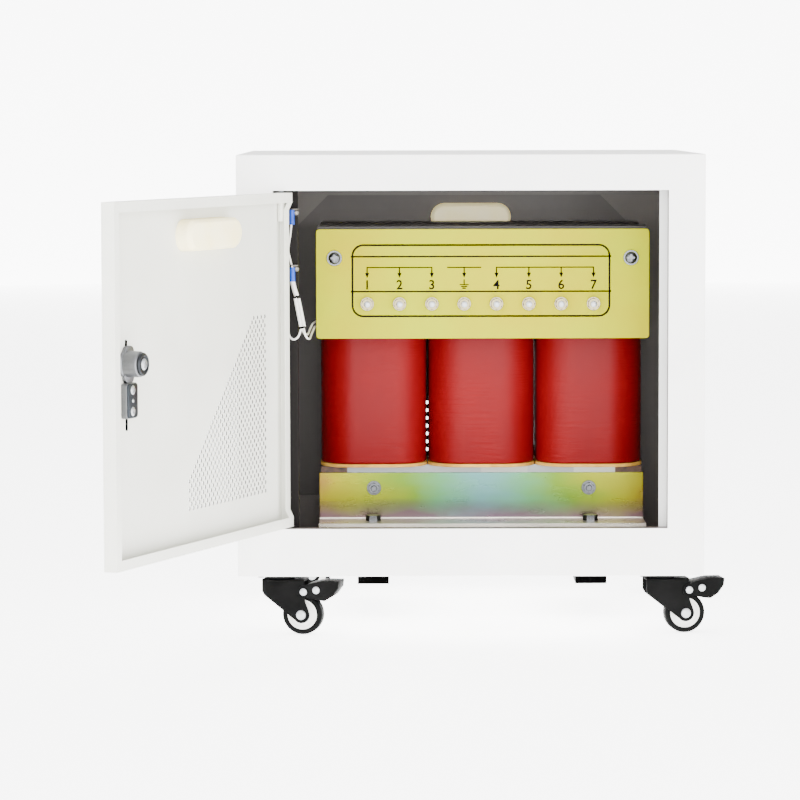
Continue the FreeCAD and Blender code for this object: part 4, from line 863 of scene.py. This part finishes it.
def makeWiring():
    near = -241.5
    groups = (
        ("crimpSleeves", vinylBlue, "sleeve_blue", ("crimp_sleeves",), {
            "crimpHigh": (3.6, [(-238.6, near, 485), (-238.4, near, 476), (-238.5, near, 467)]),
            "crimpLow": (3.6, [(-238.2, near, 414), (-238.2, near, 405), (-238, near, 396.5)])}),
        ("controlWires", vinylWhite, "wire_white", ("control_wires",), {
            "jumper": (1.2, [(-238.6, near, 470), (-240, near, 455), (-243.6, near - 1, 436), (-241, near, 425),
                             (-238, near, 413)]),
            "loopBack": (1.3, [(-227.5, near, 340), (-228.5, near, 333), (-232.5, near, 326), (-238, near, 324),
                               (-243.5, near + 2, 330), (-245, -237.5, 341)]),
            "loopFront": (1.3, [(-224.5, near, 340), (-223, near, 330), (-219, -238, 325), (-217, -215, 324),
                                (-217, -180, 326), (-214.5, -140, 331), (-213.5, -118, 334), (-203, -86, 336),
                                (-191.1, -69.5, 338.5)]),
            "loopSide": (1.3, [(-226.5, near + 1, 340), (-225, near + 1, 333), (-221, -236, 330), (-219.5, -210, 330),
                               (-219, -176, 332), (-217.2, -140, 336), (-216, -118, 338), (-204, -84, 341),
                               (-191.1, -69.5, 343)])}),
        ("wireSleeves", braid, "sleeve_white", ("wire_sleeves",), {
            "sleeveSingle": (3.1, [(-238.1, near, 398), (-236.2, near, 388), (-232.9, near, 378.5)]),
            "sleeveLeft": (2.3, [(-234.6, near, 376), (-231.4, near, 360), (-227.6, near, 340.5)]),
            "sleeveRight": (2.3, [(-230.8, near, 375.4), (-227.6, near, 360), (-223.9, near, 340.5)])}),
        ("wireBands", blackPlastic, "black_plastic", (), {
            "bandHigh": (3.5, [(-234, near, 378.6), (-233.4, near, 377.6), (-232.8, near, 376.6)]),
            "bandLow": (3.9, [(-226.2, near, 340.8), (-225.9, near, 339.6), (-225.6, near, 338.4)])}))
    for name, finish, slotName, hidden, tubes in groups:
        pieces = [addTube(part, points, radius) for part, (radius, points) in tubes.items()]
        finishPiece(joinAll(name, pieces), "cabinet", finish, hidden)
    lugs = []
    for z in (485.5, 416.0):
        lug = addPlate("lugTongue", roundRect(12, 9, 3.5, 0, 0), 0, 1)
        lug.data.transform(shiftBy(-235.4, near, z) @ turnBy(90, "X"))
        head = addScrew("lugScrew", 3.6, 2.2, 1.8, 3)
        head.data.transform(shiftBy(-233, -238.5, z - 4))
        bracket = addBlock("lugBracket", (-240, -239.4, z - 5), (-230.5, -238.2, z - 1))
        lugs += [bevelAll(lug, 0.2, 1), head, bevelAll(bracket, 0.3, 1)]
        lugs.append(bevelAll(addBlock("lugSeat", (-238, -238.2, z - 7), (-232, -236.9, z)), 0.2, 1))
    finishPiece(joinAll("wireLugs", lugs), "cabinet", tinnedCopper, ("wire_lugs",))


makeWiring()
print("wiring made")


# casters, modelled once in the swivel's own axes and copied

casterSpots = {"front_left": (-255.5, -227, -12), "front_right": (219.5, -227, 8), "rear_left": (-255.5, 143, 4),
               "rear_right": (219.5, 143, -6)}
casterTop = 34  # height of the plates' upper side
wheel = {"x": 30, "z": -52.75, "tread": 25.25, "hub": 10.5}
forkLeg = ([(-20, -8.5), (-20, -24), (-17, -29)]
           + [(wheel["x"] + wheel["hub"] * math.cos(math.radians(a)),
               wheel["z"] + wheel["hub"] * math.sin(math.radians(a))) for a in range(218, 376, 14)]
           + [(38.5, -45), (35.5, -38), (34, -30), (34, -8.5)])
pedalOutline = [(26.7, -28.5), (26.7, -19.5), (30, -16.5), (41.7, -13), (57.7, -9.5), (78.7, -9.5), (77.7, -18),
                (70.7, -28), (60.7, -34.5), (52, -33.5)]
hoodLoop = [(37, -14.6), (41.7, -13), (57.7, -9.5), (78.7, -9.5), (77.7, -18), (70.7, -28), (60.7, -34.5),
            (60.2, -32.2), (69.2, -26.8), (75.8, -17.6), (76.6, -11.5), (58, -11.5), (42.2, -15), (37, -16.6)]


def makeFork():
    legs = [bevelAll(addPlate("forkLeg", forkLeg, y, y + 2.5), 0.6, 2) for y in (-13.5, 11)]
    top = bevelAll(addBlock("forkTop", (-20, -13.5, -11), (34, 13.5, -8.5)), 0.5, 1)
    crown = addTurned("forkCrown", [(5.1, -8.5), (18.5, -8.5), (20, -9.3), (20, -11), (5.1, -11)])
    return joinAll("fork", [*legs, top, crown])


def makeCasterTop():
    plate = addBlock("topPlate", (-29.5, -25, -2.5), (29.5, 25, 0))
    roundEdges(plate, isUpright, 4, 4)
    race = addTurned("race", [(5, -2.4), (17, -2.4), (19.4, -3.4), (20, -5), (19.2, -7.2), (17.5, -8.2), (5, -8.2)])
    king = addTurned("kingPin", [(0, -8), (5, -8), (5, -12), (7.4, -12), (7.4, -13.2), (5.4, -14.6), (0, -15)], "Z", 28)
    bolts = []
    for x in (-23, 23):
        for y in (-18.5, 18.5):
            head = addHexNut("plateBolt", 4.4, 2.8, 0, 0.4)
            head.data.transform(shiftBy(x, y, -2.5) @ turnBy(90, "X"))
            bolts.append(head)
    return joinAll("casterTop", [bevelAll(plate, 0.4, 1), race, king, *bolts])


def makeRim():
    half = [(4.05, 10.5), (7, 10.5), (8, 9.6), (8, 5.5), (15, 4.6), (17.2, 7.6), (19, 7.6)]
    rim = addTurned("rim", [(r, -y) for r, y in half] + half[::-1], "Y", 56)
    return bevelAll(rim, 0.3, 1)


def makeTyre():
    crown = [(wheel["tread"] - 4.2 + 4.2 * math.sin(math.radians(a)), -9.4 + 4.2 - 4.2 * math.cos(math.radians(a)))
             for a in range(0, 91, 15)]
    side = crown + [(r, -y) for r, y in reversed(crown)]
    return addTurned("tyre", [(18.9, -8.6), (19.6, -9.4)] + side + [(19.6, 9.4), (18.9, 8.6)], "Y", 64)


def addRivet(name, radius, height, x, y, z, side):  # domed head on a face at y, pointing to that side
    dome = [(0, -height), (radius * 0.55, -height * 0.9), (radius * 0.9, -height * 0.5), (radius, 0), (0, 0)]
    rivet = addTurned(name, dome, "Y", 24)
    place = shiftBy(x, y, z)
    rivet.data.transform(place if side < 0 else place @ turnBy(180, "Z"))
    return rivet


def makeAxle():
    shank = addTurned("axleShank", [(0, -14), (4, -14), (4, 14), (0, 14)], "Y", 28)
    heads = [addRivet("axleHead", 6.3, 3, 0, -13.5, 0, -1), addHexNut("axleNut", 6.3, 3, 0, 3.8)]
    heads[1].data.transform(shiftBy(0, 13.5, 0) @ turnBy(180, "Z"))
    return joinAll("axle", [shank, *heads])


def makePedal():
    cheeks = [bevelAll(addPlate("cheek", pedalOutline, y, y + 2), 0.5, 2) for y in (-15.9, 13.9)]
    hood = bevelAll(addPlate("hood", hoodLoop, -15.6, 15.6), 0.6, 2)
    ribs = [bevelAll(addBlock("toeRib", (60 + 5 * k, -11, -9.6), (62 + 5 * k, 11, -8.9)), 0.3, 1) for k in range(3)]
    return joinAll("pedal", [*cheeks, hood, *ribs])


def makeCasters():
    fork, top, rim, tyre, axle, pedal = makeFork(), makeCasterTop(), makeRim(), makeTyre(), makeAxle(), makePedal()
    rivets = joinAll("pedalRivets", [addRivet("rivet", 4.7, 1.9, x, side * 15.9, z, side)
                                     for x, z in ((33.7, -23.5), (49.8, -21)) for side in (-1, 1)])
    studs = addTurned("pivotStud", [(0, -16.5), (2.5, -16.5), (2.5, -11), (0, -11)], "Y", 20)
    studs.data.transform(shiftBy(33.7, 0, -23.5))
    studs = joinAll("pivotStuds", [studs, copyPiece(studs, "pivotFar", shiftBy(0, 27.5, 0))])
    wheelPlace = shiftBy(wheel["x"], 0, wheel["z"])
    tops = []
    for corner, (x, y, trail) in casterSpots.items():
        word = "".join(part.title() for part in corner.split("_"))
        flat = shiftBy(x, y, casterTop)
        place = flat @ turnBy(trail, "Z")
        hub = place @ wheelPlace
        tops.append(copyPiece(top, f"casterTop{word}", flat))
        parts = [("fork", fork, place, "swivel", blackCoat, "black_paint", (f"fork_{corner}",)),
                 ("axle", axle, hub, "swivel", brightZinc, "zinc_steel", (f"caster_axle_{corner}",)),
                 ("rim", rim, hub, "wheel", nylonWhite, "rim_white", (f"wheel_rim_{corner}",)),
                 ("tyre", tyre, hub, "wheel", rubberTyre, "tyre_black", (f"tyre_{corner}",))]
        if corner.startswith("front"):
            parts += [("pedal", pedal, place, "brake", blackCoat, "black_paint", (f"brake_pedal_{corner}",)),
                      ("rivets", rivets, place, "brake", brightZinc, "zinc_steel", ()),
                      ("studs", studs, place, "swivel", zincPlate, "zinc_steel", ())]
        for name, first, spot, body, finish, slotName, hidden in parts:
            finishPiece(copyPiece(first, name + word, spot), f"{body}_{corner}", finish, hidden)
    finishPiece(joinAll("casterTops", tops), "cabinet", blackCoat, ("caster_plates",))
    for piece in (fork, top, rim, tyre, axle, pedal, rivets, studs):
        bpy.data.objects.remove(piece)


makeCasters()
print("casters made")


# small screws of the rear frame

def makeFrameScrews():
    first = addScrew("frameScrew", 4, 2.2, 1.5, 2)
    spots = [(x, z) for x in (-292, 256) for z in (60, 180, 300, 420, 508)]
    spots += [(x, 528) for x in (-150, -18, 114)]
    screws = [copyPiece(first, f"frameScrew{k}", shiftBy(x, 173, z))
              for k, (x, z) in enumerate(spots)]
    bpy.data.objects.remove(first)
    finishPiece(joinAll("frameScrews", screws), "cabinet", blackPlastic)


makeFrameScrews()
print("frame screws made")


# the room: pale floor and round backdrop, soft studio light, and the photograph's camera

room = {"floor": -44.2, "radius": 9.0, "wall": 1.4, "paper": "#f7f7f7", "glow": 4.5}
paper, paperTree, paperShader, paperPlace = newMaterial("studioPaper", room["paper"], 0.9, Specular_IOR_Level=0.0)
addBump(paperTree, paperShader, speckle(paperTree, paperPlace, 3, 2), 0.05, 0.2)
paperShader.inputs["Emission Color"].default_value = (1, 1, 1, 1)  # paper lit from behind
paperShader.inputs["Emission Strength"].default_value = room["glow"]
deselectAll()
bpy.ops.mesh.primitive_circle_add(vertices=96, radius=room["radius"], fill_type="NGON",
                                  location=(0, 0, room["floor"] * mm))
floor = nameActive("floor")
deselectAll()
bpy.ops.mesh.primitive_cylinder_add(vertices=96, radius=room["radius"], depth=room["wall"], end_fill_type="NOTHING",
                                    location=(0, 0, room["floor"] * mm + room["wall"] / 2))
backdrop = nameActive("backdrop")
for piece in (floor, backdrop):
    piece.data.materials.append(paper)

world = bpy.data.worlds.new("studio")
bpy.context.scene.world = world
world.use_nodes = True
world.node_tree.nodes["Background"].inputs["Color"].default_value = (1, 1, 1, 1)
world.node_tree.nodes["Background"].inputs["Strength"].default_value = 1.5

# metres for the spot and the size, watts for the power
lights = {"key": ((-1.9, -2.8, 2.6), 2.2, 120), "fill": ((2.6, -2.6, 1.6), 2.4, 80),
          "front": ((0.2, -3.6, 0.9), 1.6, 90), "top": ((0.0, 0.2, 3.0), 2.4, 60)}
for name, (spot, size, power) in lights.items():
    lamp = bpy.data.lights.new(name, "AREA")
    lamp.size, lamp.energy = size, power
    holder = bpy.data.objects.new(name, lamp)
    bpy.context.collection.objects.link(holder)
    holder.location = spot
    holder.rotation_mode = "QUATERNION"
    holder.rotation_quaternion = (Vector((0, 0, 0.25)) - Vector(spot)).to_track_quat("-Z", "Y")

cameraLook = {"spot": (-0.1048, -4.636, 0.605), "lens": 159.95, "pitch": 4.629, "roll": -0.13, "yaw": 0.005}
camera = bpy.data.objects.new("camera", bpy.data.cameras.new("camera"))
bpy.context.collection.objects.link(camera)
camera.data.lens = cameraLook["lens"]
camera.data.sensor_width = 36
camera.data.clip_end = 60
camera.matrix_world = (Matrix.Translation(cameraLook["spot"]) @ turnBy(cameraLook["yaw"], "Z")
                       @ turnBy(90 - cameraLook["pitch"], "X")
                       @ turnBy(cameraLook["roll"], "Z"))
bpy.context.scene.camera = camera
print("studio set")
